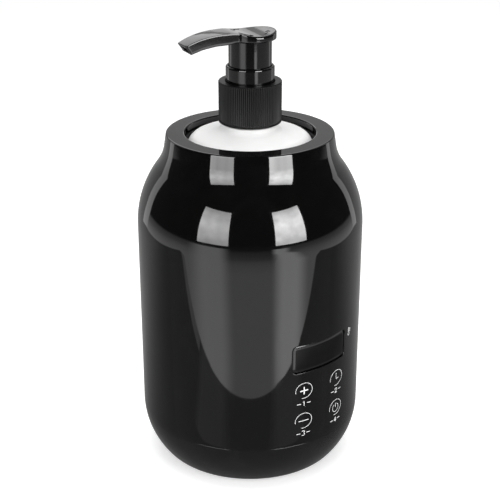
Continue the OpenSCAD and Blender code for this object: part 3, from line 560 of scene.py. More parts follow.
@dataclass(frozen=True)
class Ink(Finish):
    """A printed ink with a fine broken tone."""

    colour: Colour = grey(0.8)
    thin: Colour = grey(0.6)
    speckle: float = 0.35
    roughness: float = 0.42
    depth: float = 0.004

    def shader(self, graph: Graph) -> Signal:
        """Builds the ink.

        Args:
            graph: The finish's graph.

        Returns:
            The shader.
        """
        broken = graph.noise(graph.place(), self.speckle, detail=3.0)
        return graph.surface({
            "Base Color": graph.mix(broken.ramp(0.45, 0.8), self.colour, self.thin),
            "Roughness": self.roughness + broken * 0.2,
            "Normal": graph.bump(broken, self.depth),
        })


class Slot(Enum):
    """The record's material slots and the finish of each."""

    SHELL = Polished("shell_black")
    BASE = Polished("base_black", colour=grey(0.003), drift=grey(0.005), roughness=0.09, haze=0.05)
    FOOT = Moulded("foot_rubber", colour=grey(0.018), drift=grey(0.03), worn=grey(0.07),
                   roughness=0.8, grain=0.3, depth=0.02)
    SCREW = Metal("screw_steel", colour=grey(0.56), dull=grey(0.38), roughness=0.28)
    WINDOW = Polished("window_smoke", colour=grey(0.002), drift=grey(0.003), roughness=0.3,
                      haze=0.06, swell_depth=0.0004, ior=1.24, rim=0.7)
    MODULE = Moulded("module_black", colour=grey(0.012), drift=grey(0.02), roughness=0.35)
    BOARD = Board("board_green")
    CHIP = Moulded("chip_black", colour=grey(0.016), drift=grey(0.026), roughness=0.55, grain=0.2)
    PAD = Felted("pad_foam", colour=grey(0.12), shade=grey(0.05), fibre=0.35, depth=0.08)
    CUP = Metal("cup_aluminium", colour=grey(0.05), dull=grey(0.035), roughness=0.3,
                stretch=(12.0, 12.0, 1.0), mark=0.2)
    SEAL = Moulded("seal_silicone", colour=grey(0.012), drift=grey(0.018), worn=grey(0.04),
                   roughness=0.6)
    REST = Moulded("pad_silicone", colour=(0.4, 0.4, 0.42, 1.0), drift=(0.5, 0.5, 0.52, 1.0),
                   worn=grey(0.6), roughness=0.62, depth=0.01, soft=0.15)
    FILM = Film("film_orange")
    FELT = Felted("felt")
    STRAP = Metal("strap_steel", colour=grey(0.58), dull=grey(0.4), roughness=0.26,
                  stretch=(14.0, 14.0, 1.0))
    SUPPORT = Moulded("support_plastic", colour=grey(0.05), drift=grey(0.075), roughness=0.5,
                      grain=0.6, depth=0.01)
    SENSOR = Metal("sensor_metal", colour=(0.6, 0.58, 0.52, 1.0), dull=grey(0.4), roughness=0.34)
    CUTOUT = Moulded("cutout_ceramic", colour=(0.68, 0.66, 0.6, 1.0), drift=(0.58, 0.56, 0.5, 1.0),
                     worn=grey(0.8), roughness=0.7, grain=0.3, depth=0.01)
    RELAY = Moulded("relay_blue", colour=(0.015, 0.09, 0.36, 1.0), drift=(0.02, 0.12, 0.42, 1.0),
                    worn=(0.1, 0.25, 0.6, 1.0), roughness=0.34)
    CAPACITOR = Moulded("capacitor_sleeve", colour=(0.02, 0.025, 0.06, 1.0),
                        drift=(0.03, 0.036, 0.08, 1.0), roughness=0.28)
    CONNECTOR = Moulded("connector_ivory", colour=(0.74, 0.7, 0.58, 1.0),
                        drift=(0.8, 0.76, 0.66, 1.0), worn=grey(0.86), roughness=0.45)
    SOCKET = Moulded("socket_black", colour=grey(0.012), drift=grey(0.02), worn=grey(0.06),
                     roughness=0.38, grain=0.35, depth=0.006)
    NUT = Metal("nut_brass", colour=(0.72, 0.5, 0.2, 1.0), dull=(0.5, 0.34, 0.14, 1.0), roughness=0.3)
    RED = Moulded("wire_red", colour=(0.5, 0.02, 0.015, 1.0), drift=(0.58, 0.04, 0.03, 1.0),
                  worn=(0.7, 0.2, 0.15, 1.0), roughness=0.36)
    WHITE = Moulded("wire_white", colour=grey(0.74), drift=grey(0.66), worn=grey(0.82), roughness=0.4)
    YELLOW = Moulded("wire_yellow", colour=(0.72, 0.5, 0.04, 1.0), drift=(0.78, 0.58, 0.1, 1.0),
                     worn=(0.85, 0.72, 0.3, 1.0), roughness=0.38)
    BLUE = Moulded("wire_blue", colour=(0.02, 0.1, 0.45, 1.0), drift=(0.04, 0.14, 0.52, 1.0),
                   worn=(0.2, 0.32, 0.66, 1.0), roughness=0.38)
    RIBBON = Moulded("ribbon_grey", colour=grey(0.34), drift=grey(0.42), worn=grey(0.5), roughness=0.46)
    BOTTLE = Moulded("bottle_white", colour=(0.82, 0.82, 0.815, 1.0), drift=(0.86, 0.86, 0.855, 1.0),
                     worn=grey(0.9), wear=0.2, roughness=0.56, polish=0.08, patch=22.0, grain=0.8,
                     depth=0.004, soft=0.25)
    # The closure's worn colour serves both its rubbed edges and the painted highlight on its rib crests
    CLOSURE = Moulded("closure_black", colour=grey(0.003), drift=grey(0.005), worn=grey(0.1),
                      crest_highlight=0.27, roughness=0.42, polish=0.08, grain=0.25, depth=0.003, ior=1.22)
    COLLAR = Polished("collar_black", colour=grey(0.002), roughness=0.05, haze=0.03, swell=3.0,
                      swell_depth=0.015)
    HEAD = Polished("head_black", colour=grey(0.002), roughness=0.05, haze=0.04, swell=3.0,
                    swell_depth=0.015)
    PUMP = Moulded("pump_white", colour=grey(0.74), drift=grey(0.8), worn=grey(0.86), roughness=0.34,
                   soft=0.2)
    GASKET = Felted("gasket_foam", colour=grey(0.72), shade=grey(0.52), fibre=0.3, depth=0.05)
    TUBE = Clear("tube_clear", tint=(0.86, 0.88, 0.88, 1.0), shade=(0.78, 0.8, 0.8, 1.0),
                 roughness=0.16)
    SPRING = Metal("spring_steel", colour=grey(0.62), dull=grey(0.48), roughness=0.2,
                   stretch=(6.0, 6.0, 6.0))
    INK = Ink("panel_ink")


class Palette:
    """Makes each finish once and hands it out."""

    def __init__(self) -> None:
        """Starts with no material made."""
        self.made: dict[Slot, bpy.types.Material] = {}

    def of(self, slot: Slot) -> bpy.types.Material:
        """Gives a slot's material.

        Args:
            slot: The slot that is asked for.

        Returns:
            The material, made on first use.
        """
        if slot not in self.made:
            self.made[slot] = slot.value.make()
        return self.made[slot]

    def redress(self) -> None:
        """Puts the fine finishes on the frame's own solids."""
        by_name = {slot.value.name: slot for slot in Slot}
        for node in frame["nodes"].values():
            for place in node.material_slots:
                place.material = self.of(by_name[place.material.name])


# Sections and surfaces

def upright(node: str) -> Point:
    """Gives the radius, foot and top of a round solid on the axis, in millimetres."""
    low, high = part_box(node)
    return (high.x / MM, low.z / MM, high.z / MM)


def placed(name: str, data: bpy.types.ID) -> Piece:
    """Makes an object and links it to the scene.

    Args:
        name: The object's name.
        data: Its mesh, lamp or camera.

    Returns:
        The object.
    """
    item = bpy.data.objects.new(name, data)
    bpy.context.scene.collection.objects.link(item)
    return item


def mark_points(mesh: bpy.types.Mesh, name: str, values: Sequence[float]) -> None:
    """Writes a named value on each point of a mesh."""
    mesh.attributes.new(name, "FLOAT", "POINT").data.foreach_set("value", values)


def spread(first: float, last: float, count: int) -> list[float]:
    """Gives evenly spaced values, both ends among them."""
    return [first + (last - first) * i / count for i in range(count + 1)]


def smooth(value: float, start: float, end: float) -> float:
    """Eases from 0 at the start to 1 at the end."""
    part = max(0.0, min(1.0, (value - start) / (end - start)))
    return part * part * (3 - 2 * part)


def arc(centre: Flat, radius: float, start: float, end: float, steps: int) -> list[Flat]:
    """Gives the points of an arc.

    Args:
        centre: The arc's centre.
        radius: Its radius.
        start: Its first angle in degrees.
        end: Its last angle in degrees.
        steps: How many parts it has.

    Returns:
        The points, both ends among them.
    """
    x, y = centre
    turns = [math.radians(turn) for turn in spread(start, end, steps)]
    return [(x + radius * math.cos(turn), y + radius * math.sin(turn)) for turn in turns]


def eased(corners: Sequence[Point], steps: int = 4) -> list[Flat]:
    """Rounds the corners of an open line.

    Args:
        corners: Points with the radius of each corner.
        steps: How many parts a rounded corner has.

    Returns:
        The rounded line.
    """
    line: list[Flat] = []
    for i, (x, y, radius) in enumerate(corners):
        here = Vector((x, y))
        if i in (0, len(corners) - 1) or radius <= 0:
            line.append((x, y))
            continue
        back = (Vector(corners[i - 1][:2]) - here).normalized()
        ahead = (Vector(corners[i + 1][:2]) - here).normalized()
        half = back.angle(ahead) / 2
        reach = radius / math.tan(half)
        middle = here + (back + ahead).normalized() * (radius / math.sin(half))
        first = here + back * reach - middle
        sweep = (here + ahead * reach - middle).angle_signed(first)
        for k in range(steps + 1):
            spot = Matrix.Rotation(sweep * k / steps, 2) @ first
            line.append((middle.x + spot.x, middle.y + spot.y))
    return line


def guarded(line: Sequence[Flat], near: float = 0.25) -> list[Flat]:
    """Adds a point close to each end of the long parts, so that they shade flat.

    Args:
        line: The section's points.
        near: How close the added points lie, in millimetres.

    Returns:
        The section with its added points.
    """
    full: list[Flat] = [line[0]]
    for (x, y), (far_x, far_y) in zip(line, line[1:]):
        length = math.dist((x, y), (far_x, far_y))
        if length > 8 * near:
            for part in (near / length, 1 - near / length):
                full.append((x + (far_x - x) * part, y + (far_y - y) * part))
        full.append((far_x, far_y))
    return full


class Surface:
    """Gathers points and faces, in millimetres, into one mesh."""

    def __init__(self) -> None:
        """Starts empty."""
        self.points: list[Point] = []
        self.faces: list[tuple[int, ...]] = []

    def ring(self, points: Sequence[Point]) -> list[int]:
        """Adds points.

        Args:
            points: The points to add.

        Returns:
            Their numbers.
        """
        first = len(self.points)
        self.points.extend(points)
        return list(range(first, len(self.points)))

    def band(self, low: Sequence[int], high: Sequence[int], closed: bool = True) -> None:
        """Joins two rings by faces.

        Args:
            low: The first ring, or one point of a pole.
            high: The second ring, or one point of a pole.
            closed: Whether the last points join the first.
        """
        count = max(len(low), len(high))
        for i in range(count if closed else count - 1):
            k = (i + 1) % count
            face = (low[i % len(low)], low[k % len(low)], high[k % len(high)], high[i % len(high)])
            self.faces.append(tuple(dict.fromkeys(face)))

    def loft(self, rings: Sequence[Sequence[int]], closed: bool = True) -> None:
        """Joins rings by faces, each to the next.

        Args:
            rings: The rings in order.
            closed: Whether each ring's last point joins its first.
        """
        for low, high in zip(rings, rings[1:]):
            if len(low) + len(high) > 2:
                self.band(low, high, closed)

    def close(self, ring: Sequence[int], start: int = 0) -> None:
        """Closes a ring by strips across it.

        Args:
            ring: The ring, with an even number of points.
            start: The point at which the strips start.
        """
        count = len(ring)
        ways = ([ring[(start + way * k) % count] for k in range(count // 2 + 1)] for way in (1, -1))
        self.band(*ways, closed=False)

    def lathe(
        self,
        line: Sequence[Flat],
        columns: int,
        ripple: Callable[[float, float, float], float] | None = None,
        closed: bool = True,
    ) -> list[list[int]]:
        """Turns a section round the upright axis.

        Args:
            line: The section as radius and height.
            columns: How many parts the turn has.
            ripple: Gives the radius for a radius, a height and an angle.
            closed: Whether the section's ends are joined.

        Returns:
            The rings, one for each point of the section.
        """
        rings = []
        for radius, height in line:
            if radius < 1e-6:
                rings.append(self.ring([(0.0, 0.0, height)]))
                continue
            spots = []
            for i in range(columns):
                turn = 2 * math.pi * i / columns
                reach = ripple(radius, height, turn) if ripple else radius
                spots.append((reach * math.sin(turn), -reach * math.cos(turn), height))
            rings.append(self.ring(spots))
        self.loft(rings)
        if closed:
            self.band(rings[-1], rings[0])
        return rings

    def tube(self, path: Sequence[Point], radius: float, sides: int) -> None:
        """Sweeps a round section along a path and caps both ends.

        Args:
            path: The points that it follows.
            radius: The section's radius.
            sides: How many sides the section has.
        """
        spots = [Vector(p) for p in path]
        up = Vector((0.0, 0.0, 1.0))
        rings = []
        for i, spot in enumerate(spots):
            ahead = (spots[min(i + 1, len(spots) - 1)] - spots[max(i - 1, 0)]).normalized()
            across = ahead.cross(up).normalized()
            rise = across.cross(ahead)
            rings.append(self.ring([
                tuple(spot + (across * math.cos(a) + rise * math.sin(a)) * radius)
                for a in (2 * math.pi * k / sides for k in range(sides))
            ]))
        self.loft(rings)
        self.faces += [tuple(reversed(rings[0])), tuple(rings[-1])]

    def make(self, name: str, sharp: float = 38.0) -> Piece:
        """Makes the object.

        Args:
            name: The object's name.
            sharp: The angle in degrees above which an edge stays sharp.

        Returns:
            The object, linked to the scene.
        """
        mesh = bpy.data.meshes.new(name)
        mesh.from_pydata([tuple(c * MM for c in p) for p in self.points], [], self.faces)
        shape = bmesh.new()
        shape.from_mesh(mesh)
        bmesh.ops.recalc_face_normals(shape, faces=shape.faces)
        shape.to_mesh(mesh)
        shape.free()
        mesh.shade_smooth()
        mesh.set_sharp_from_angle(angle=math.radians(sharp))
        return placed(name, mesh)


class Workshop:
    """Seats finished pieces on the frame and reports them."""

    def __init__(self, palette: Palette) -> None:
        """Keeps the palette that dresses the pieces."""
        self.palette = palette

    def seat(self, piece: Piece, body: str, slot: Slot, *nodes: str) -> Piece:
        """Dresses a piece, seats it on a body and lets it stand for its solids.

        Args:
            piece: The piece.
            body: The body that it rides on.
            slot: Its finish.
            nodes: The solids that it stands for.

        Returns:
            The piece.
        """
        piece.data.materials.clear()
        piece.data.materials.append(self.palette.of(slot))
        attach(piece, body)
        if nodes:
            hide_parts(*nodes)
        LOG.info("%s: %d faces on %s", piece.name, len(piece.data.polygons), body)
        return piece


# The warmer's housing

@dataclass
class Housing:
    """The black shell, its base, feet, window lens and inlet."""

    radius: float = 50.0
    wall: float = 2.5
    seam: float = 23.0
    seam_round: float = 0.14
    seam_ledge: float = 46.0
    columns: int = 240
    round_z: float = 25.5
    round_r: float = 35.0
    round_x: float = 15.0
    foot_r: float = 6.0
    base_z: float = 1.5
    base_rows: Flat = (10.0, 24.0)
    floor_r: float = 34.0
    plain_rows: tuple[float, ...] = (47.0, 88.0, 100.0, 111.0)
    shoulder_z: float = 112.0
    shoulder_r: float = 44.0
    hollow: Flat = (56.6232, 150.242)
    hollow_r: float = 19.444
    shoulder_deg: float = 37.0681
    neck_deg: float = 9.0
    lip_r: float = 36.5
    lip_z: float = 153.0
    lip_t: float = 3.0
    lip_edge: float = 0.6
    lip_under: float = 0.4
    lip_land: float = 5.0
    opening: float = 28.5
    window: tuple[float, float, float] = (30.0, 12.8, 2.2)
    window_z: float = 65.1
    window_gap: float = 0.25
    lens_sink: float = 0.3
    lens_back: float = -45.0
    lens_parts: tuple[int, int] = (40, 24)
    lens_edge: Profile = (
        (0.0, 0.8), (0.05, 0.45), (0.14, 0.32), (0.3, 0.26), (1.3, 0.05), (1.45, 0.03), (1.48, 0.03),
        (1.8, 0.0),
    )
    lens_rim: int = 7
    foot_columns: int = 72
    window_rows: Flat = (54.0, 76.0)
    window_turn: float = 25.5
    inlet_z: float = 33.5
    inlet_r: float = 5.75
    inlet_rows: Flat = (27.0, 40.0)
    inlet_turn: float = 10.5
    inlet_barrel: float = 3.6
    inlet_flange: float = 1.6
    inlet_bore: float = 2.75
    inlet_depth: float = 9.5
    inlet_pin: float = 0.5
    inlet_columns: int = 64
    hole_blend: tuple[float, ...] = (0.45, 0.75, 0.93, 1.0)
    hole_bevel: Profile = ((0.05, 0.02), (0.12, 0.07), (0.16, 0.2))
    tread: float = 0.25
    tread_rim: float = 2.0
    sharp: float = 50.0

    @property
    def seam_r(self) -> float:
        """Gives the outside's radius at the seam."""
        return self.round_x + math.sqrt(self.round_r ** 2 - (self.round_z - self.seam) ** 2)

    @property
    def side_c(self) -> Flat:
        """Gives the middle of the rounded side's arc."""
        return (self.round_x, self.round_z)

    @property
    def shoulder_c(self) -> Flat:
        """Gives the middle of the shoulder's arc."""
        return (self.radius - self.shoulder_r, self.shoulder_z)

    def rungs(self) -> list[float]:
        """Gives the heights of the side's foot and of the rings beside its openings, 1 mm apart."""
        spans = (spread(low, high, round(high - low)) for low, high in (self.inlet_rows, self.window_rows))
        return [self.round_z] + [height for span in spans for height in span]

    def outside(self) -> list[Flat]:
        """Gives the shell's outer section from the seam up to the opening.

        Returns:
            The section, round the lip and in under it.
        """
        foot = eased([
            (self.radius - self.wall, self.seam, 0.0), (self.seam_r, self.seam, self.seam_round),
            (self.seam_r + 0.05, self.seam + 1.0, 0.0),
        ])
        rise = arc(self.side_c, self.round_r, -2.4, 0.0, 4)[:-1]
        side = [(self.radius, z) for z in sorted([*self.rungs(), *self.plain_rows])]
        shoulder = arc(self.shoulder_c, self.shoulder_r, 0.0, self.shoulder_deg, 48)
        hollow = arc(self.hollow, self.hollow_r, 180.0 + self.shoulder_deg, 180.0 + self.neck_deg, 36)
        under = self.lip_z - self.lip_t
        lean = eased([
            (*hollow[-1], 0.0), (self.lip_r, self.lip_z, self.lip_edge),
            (self.opening, self.lip_z, self.lip_edge), (self.opening, under, self.lip_under),
            (self.opening + self.lip_land, under, 0.0),
        ], 6)
        return foot[:-1] + rise + side + shoulder + hollow[1:-1] + guarded(lean, 0.3)

    def inside(self) -> list[Flat]:
        """Gives the shell's inner section from the lip down to the seam.

        Returns:
            The section.
        """
        inner = self.hollow_r + self.wall
        hollow = arc(self.hollow, inner, 180.0 + self.neck_deg, 180.0 + self.shoulder_deg, 12)
        shoulder = arc(self.shoulder_c, self.shoulder_r - self.wall, self.shoulder_deg, 0.0, 16)
        return hollow + shoulder[1:] + [(self.radius - self.wall, z) for z in reversed(self.rungs())]

    def wrap(self, along: float, height: float, out: float = 0.0) -> Point:
        """Lays a flat point on the shell's side.

        Args:
            along: The distance along the side from the front's middle.
            height: The height.
            out: How far outside the side it lies.

        Returns:
            The point.
        """
        turn = along / self.radius
        reach = self.radius + out
        return (reach * math.sin(turn), -reach * math.cos(turn), height)

    @staticmethod
    def frame_line(width: float, height: float, radius: float, across: int, up: int) -> list[Flat]:
        """Gives a rounded rectangle, point for point with a plain one round it.

        Args:
            width: Its width.
            height: Its height.
            radius: Its corner radius.
            across: How many parts its lower and upper sides have.
            up: How many parts its other sides have.

        Returns:
            The points from the lower left corner, anticlockwise.
        """
        spots: list[Flat] = []
        even, turn = 0.45, radius * math.pi / 4
        for side, count in enumerate((across, up, across, up)):
            length, other = (height, width) if side % 2 else (width, height)
            straight = length / 2 - radius
            quarter = Matrix.Rotation(math.pi / 2 * side, 2)
            for part in spread(0.0, 1.0, count)[:-1]:
                part = (1 - even) * (0.5 - 0.5 * math.cos(math.pi * part)) + even * part
                gone = (2 * part - 1) * (straight + turn)
                along = max(-straight, min(straight, gone))
                angle = (gone - along) / radius - math.pi / 2
                spot = quarter @ Vector((along + radius * math.cos(angle),
                                         radius + radius * math.sin(angle) - other / 2))
                spots.append((spot.x, spot.y))
        return spots

    @staticmethod
    def patch(
        skin: Surface, rings: list[list[int]], rows: Sequence[int], columns: Sequence[int],
    ) -> list[int]:
        """Takes a patch of faces out of a wall.

        Args:
            skin: The shell's surface.
            rings: Its rings.
            rows: The rings that the patch spans, low to high.
            columns: The columns that it spans, left to right.

        Returns:
            The points round the patch.
        """
        gone = set()
        for low, high in zip(rows, rows[1:]):
            for a, b in zip(columns, columns[1:]):
                gone.add(frozenset((rings[low][a], rings[low][b], rings[high][a], rings[high][b])))
        skin.faces = [face for face in skin.faces if frozenset(face) not in gone]
        loop = [rings[rows[0]][c] for c in columns[:-1]] + [rings[row][columns[-1]] for row in rows[:-1]]
        loop += [rings[rows[-1]][c] for c in reversed(columns[1:])]
        return loop + [rings[row][columns[0]] for row in reversed(rows[1:])]

    def pierce(
        self, skin: Surface, rings: list[list[int]], rows: tuple[Sequence[int], Sequence[int]],
        columns: Sequence[int], hole: tuple[float, float, float], centre: Flat,
    ) -> None:
        """Cuts a rounded opening through the shell's side, with a bevelled edge.

        Args:
            skin: The shell's surface.
            rings: Its rings.
            rows: The outer and the inner rings that the opening's patch spans, low to high.
            columns: The columns that it spans, left to right.
            hole: The opening's width, height and corner radius.
            centre: Its middle along the side and its height.
        """
        front, back = (self.patch(skin, rings, wall, columns) for wall in rows)
        line = self.frame_line(*hole, len(columns) - 1, len(rows[0]) - 1)
        outer = []
        for index in front:
            x, y, z = skin.points[index]
            turn = math.atan2(x, -y) - centre[0] / self.radius
            turn = (turn + math.pi) % (2 * math.pi) - math.pi
            outer.append((turn * self.radius, z - centre[1]))

        def between(part: float, out: float) -> list[Point]:
            """Gives a line between the patch's edge and the opening's."""
            return [self.wrap(centre[0] + ox + (ix - ox) * part, centre[1] + oz + (iz - oz) * part, out)
                    for (ox, oz), (ix, iz) in zip(outer, line)]

        lines = [between(part, 0.0) for part in self.hole_blend]
        facing = -1.0 if math.cos(centre[0] / self.radius) > 0 else 1.0
        for inset, sink in self.hole_bevel:
            spots = []
            for x, z in line:
                scale = 1.0 - inset / max(abs(x), abs(z), 1.0)
                px, py, pz = self.wrap(centre[0] + x * scale, centre[1] + z * scale)
                spots.append((px, py - facing * sink, pz))
            lines.append(spots)
        first, second, _, edge = self.hole_blend
        lines += [between(part, -self.wall) for part in (edge, second, first)]
        skin.loft([front, *(skin.ring(spots) for spots in lines), back])

    def shell(self) -> Piece:
        """Builds the outer shell with its window and inlet openings.

        Returns:
            The shell.
        """
        skin = Surface()
        section = self.outside() + self.inside()
        rings = skin.lathe(section, self.columns)
        width, height, corner = self.window
        gap, bore, back = self.window_gap, 2 * self.inlet_r, math.pi * self.radius
        window = (width + 2 * gap, height + 2 * gap, corner + gap)
        inlet = (bore, bore, self.inlet_r - 0.001)
        for middle, turn, span, hole, centre in (
            (0, self.window_turn, self.window_rows, window, (0.0, self.window_z)),
            (self.columns // 2, self.inlet_turn, self.inlet_rows, inlet, (back, self.inlet_z)),
        ):
            half = round(turn * self.columns / 360.0)
            columns = [c % self.columns for c in range(middle - half, middle + half + 1)]
            self.pierce(skin, rings, self.rows(section, span), columns, hole, centre)
        return skin.make("shell_skin", self.sharp)

    def rows(self, line: Sequence[Flat], span: Flat) -> tuple[list[int], list[int]]:
        """Finds the side's outer and inner rings between two heights, low to high.

        Args:
            line: The shell's section.
            span: The lower and the upper height.

        Returns:
            The numbers of the outer rings and of the inner ones.
        """
        near = [i for i, (_, z) in enumerate(line) if span[0] - 0.01 <= z <= span[1] + 0.01]
        outer = [i for i in near if abs(line[i][0] - self.radius) < 1e-6]
        inner = [i for i in near if abs(line[i][0] - self.radius + self.wall) < 1e-6]
        return outer, inner[::-1]

    def base(self) -> Piece:
        """Builds the rounded base with its floor.

        Returns:
            The base.
        """
        foot_c, start = self.foot_arc()
        ledge, floor = self.seam_ledge, self.base_z + self.wall
        below = -math.degrees(math.asin((self.round_z - self.seam + 0.5) / self.round_r))
        side = arc(self.side_c, self.round_r, below, start, 40)
        edge = arc(foot_c, self.foot_r, start, -90.0, 14)
        top = eased([(ledge, self.seam, 0.0), (self.seam_r, self.seam, self.seam_round), (*side[0], 0.0)])
        inner = arc(self.side_c, self.round_r - self.wall, start, -4.0, 16)
        line = [(x, self.base_z) for x in (0.0, *self.base_rows)] + edge[::-1]
        line += side[::-1][1:] + top[::-1][1:] + [(ledge, self.seam - 0.2)] + inner[::-1][1:]
        line += [(self.floor_r, floor), (0.0, floor)]
        skin = Surface()
        skin.lathe(line, self.columns, closed=False)
        return skin.make("base_skin", self.sharp)

    def foot_arc(self) -> tuple[Flat, float]:
        """Finds the edge arc that joins the rounded side to the flat bottom.

        Returns:
            The arc's centre and the angle at which it leaves the side.
        """
        height = self.base_z + self.foot_r
        reach = self.round_r - self.foot_r
        across = math.sqrt(reach ** 2 - (self.round_z - height) ** 2)
        return (self.round_x + across, height), -math.degrees(math.atan2(self.round_z - height, across))

    def lens(self) -> Piece:
        """Builds the window's curved lens with a rounded front edge.

        Returns:
            The lens.
        """
        width, height, corner = self.window
        face = self.radius - self.lens_sink
        across, up = self.lens_parts
        skin = Surface()
        line = self.frame_line(*self.window, across, up)
        rings = [skin.ring([(x, self.lens_back, self.window_z + z) for x, z in line])]
        for inset, deep in self.lens_edge:
            line = self.frame_line(width - 2 * inset, height - 2 * inset, corner - inset, across, up)
            rings.append(skin.ring([
                (x, deep - math.sqrt(face ** 2 - x ** 2), self.window_z + z) for x, z in line
            ]))
        skin.loft(rings)
        for ring in (rings[0], rings[-1]):
            skin.close(ring, 2 * across + up + up // 2)
        piece = skin.make("window_lens", self.sharp)
        edge = rings[self.lens_rim][0]
        mark_points(piece.data, "rim", [float(i < edge) for i in range(len(skin.points))])
        return piece

    def foot(self, node: str) -> Piece:
        """Builds one rubber foot, its rim eased and its tread hollow.

        Args:
            node: The solid that it stands for.

        Returns:
            The foot.
        """
        low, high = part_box(node)
        centre = (low + high) / 2
        radius = (high.x - low.x) / 2 / MM
        top = high.z / MM
        rim = radius - self.tread_rim
        line = [(0.0, self.tread)] + eased([
            (rim - 0.4, self.tread, 0.0), (rim, 0.0, 0.3), (radius, 0.0, 0.7), (radius, top, 0.3),
            (rim, top, 0.0),
        ]) + [(0.0, top)]
        skin = Surface()
        skin.lathe(guarded(line), self.foot_columns, closed=False)
        skin.points = [(x + centre.x / MM, y + centre.y / MM, z) for x, y, z in skin.points]
        return skin.make(f"{node}_rubber")

    def inlet(self) -> Piece:
        """Builds the power inlet: flange, barrel, bore and centre pin.

        Returns:
            The inlet.
        """
        low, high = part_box("power_socket")
        middle = (low + high) / 2 / MM
        radius = (high.x - low.x) / 2 / MM
        front, back = high.y / MM, low.y / MM
        barrel, bore, pin = self.inlet_barrel, self.inlet_bore, self.inlet_pin
        flange, floor = front - self.inlet_flange, front - self.inlet_depth
        line = eased([
            (0.0, back, 0.0), (barrel, back, 0.3), (barrel, flange, 0.0), (radius, flange, 0.1),
            (radius, front, 0.5), (bore + 0.7, front, 0.15), (bore + 0.5, front - 0.5, 0.1),
            (bore, front - 0.6, 0.1), (bore, floor, 0.0), (pin, floor, 0.0), (pin, flange, 0.4),
            (0.0, front - 1.3, 0.0),
        ])
        skin = Surface()
        skin.lathe(guarded(line), self.inlet_columns, closed=False)
        skin.points = [(middle.x + x, r, middle.z - y) for x, y, r in skin.points]
        return skin.make("inlet_socket")

    def build(self, shop: Workshop) -> None:
        """Builds and seats the housing's pieces.

        Args:
            shop: The workshop that seats them.
        """
        shop.seat(self.shell(), "warmer", Slot.SHELL, "outer_shell")
        shop.seat(self.base(), "warmer", Slot.BASE, "base_cover")
        shop.seat(self.lens(), "warmer", Slot.WINDOW, "display_window")
        for node in ("foot_1", "foot_2", "foot_3", "foot_4"):
            shop.seat(self.foot(node), "warmer", Slot.FOOT, node)
        shop.seat(self.inlet(), "warmer", Slot.SOCKET, "power_socket")


class Sign(Enum):
    """The signs printed in the keys' rings."""

    PLUS = "plus"
    MINUS = "minus"
    CLOCK = "clock"
    POWER = "power"


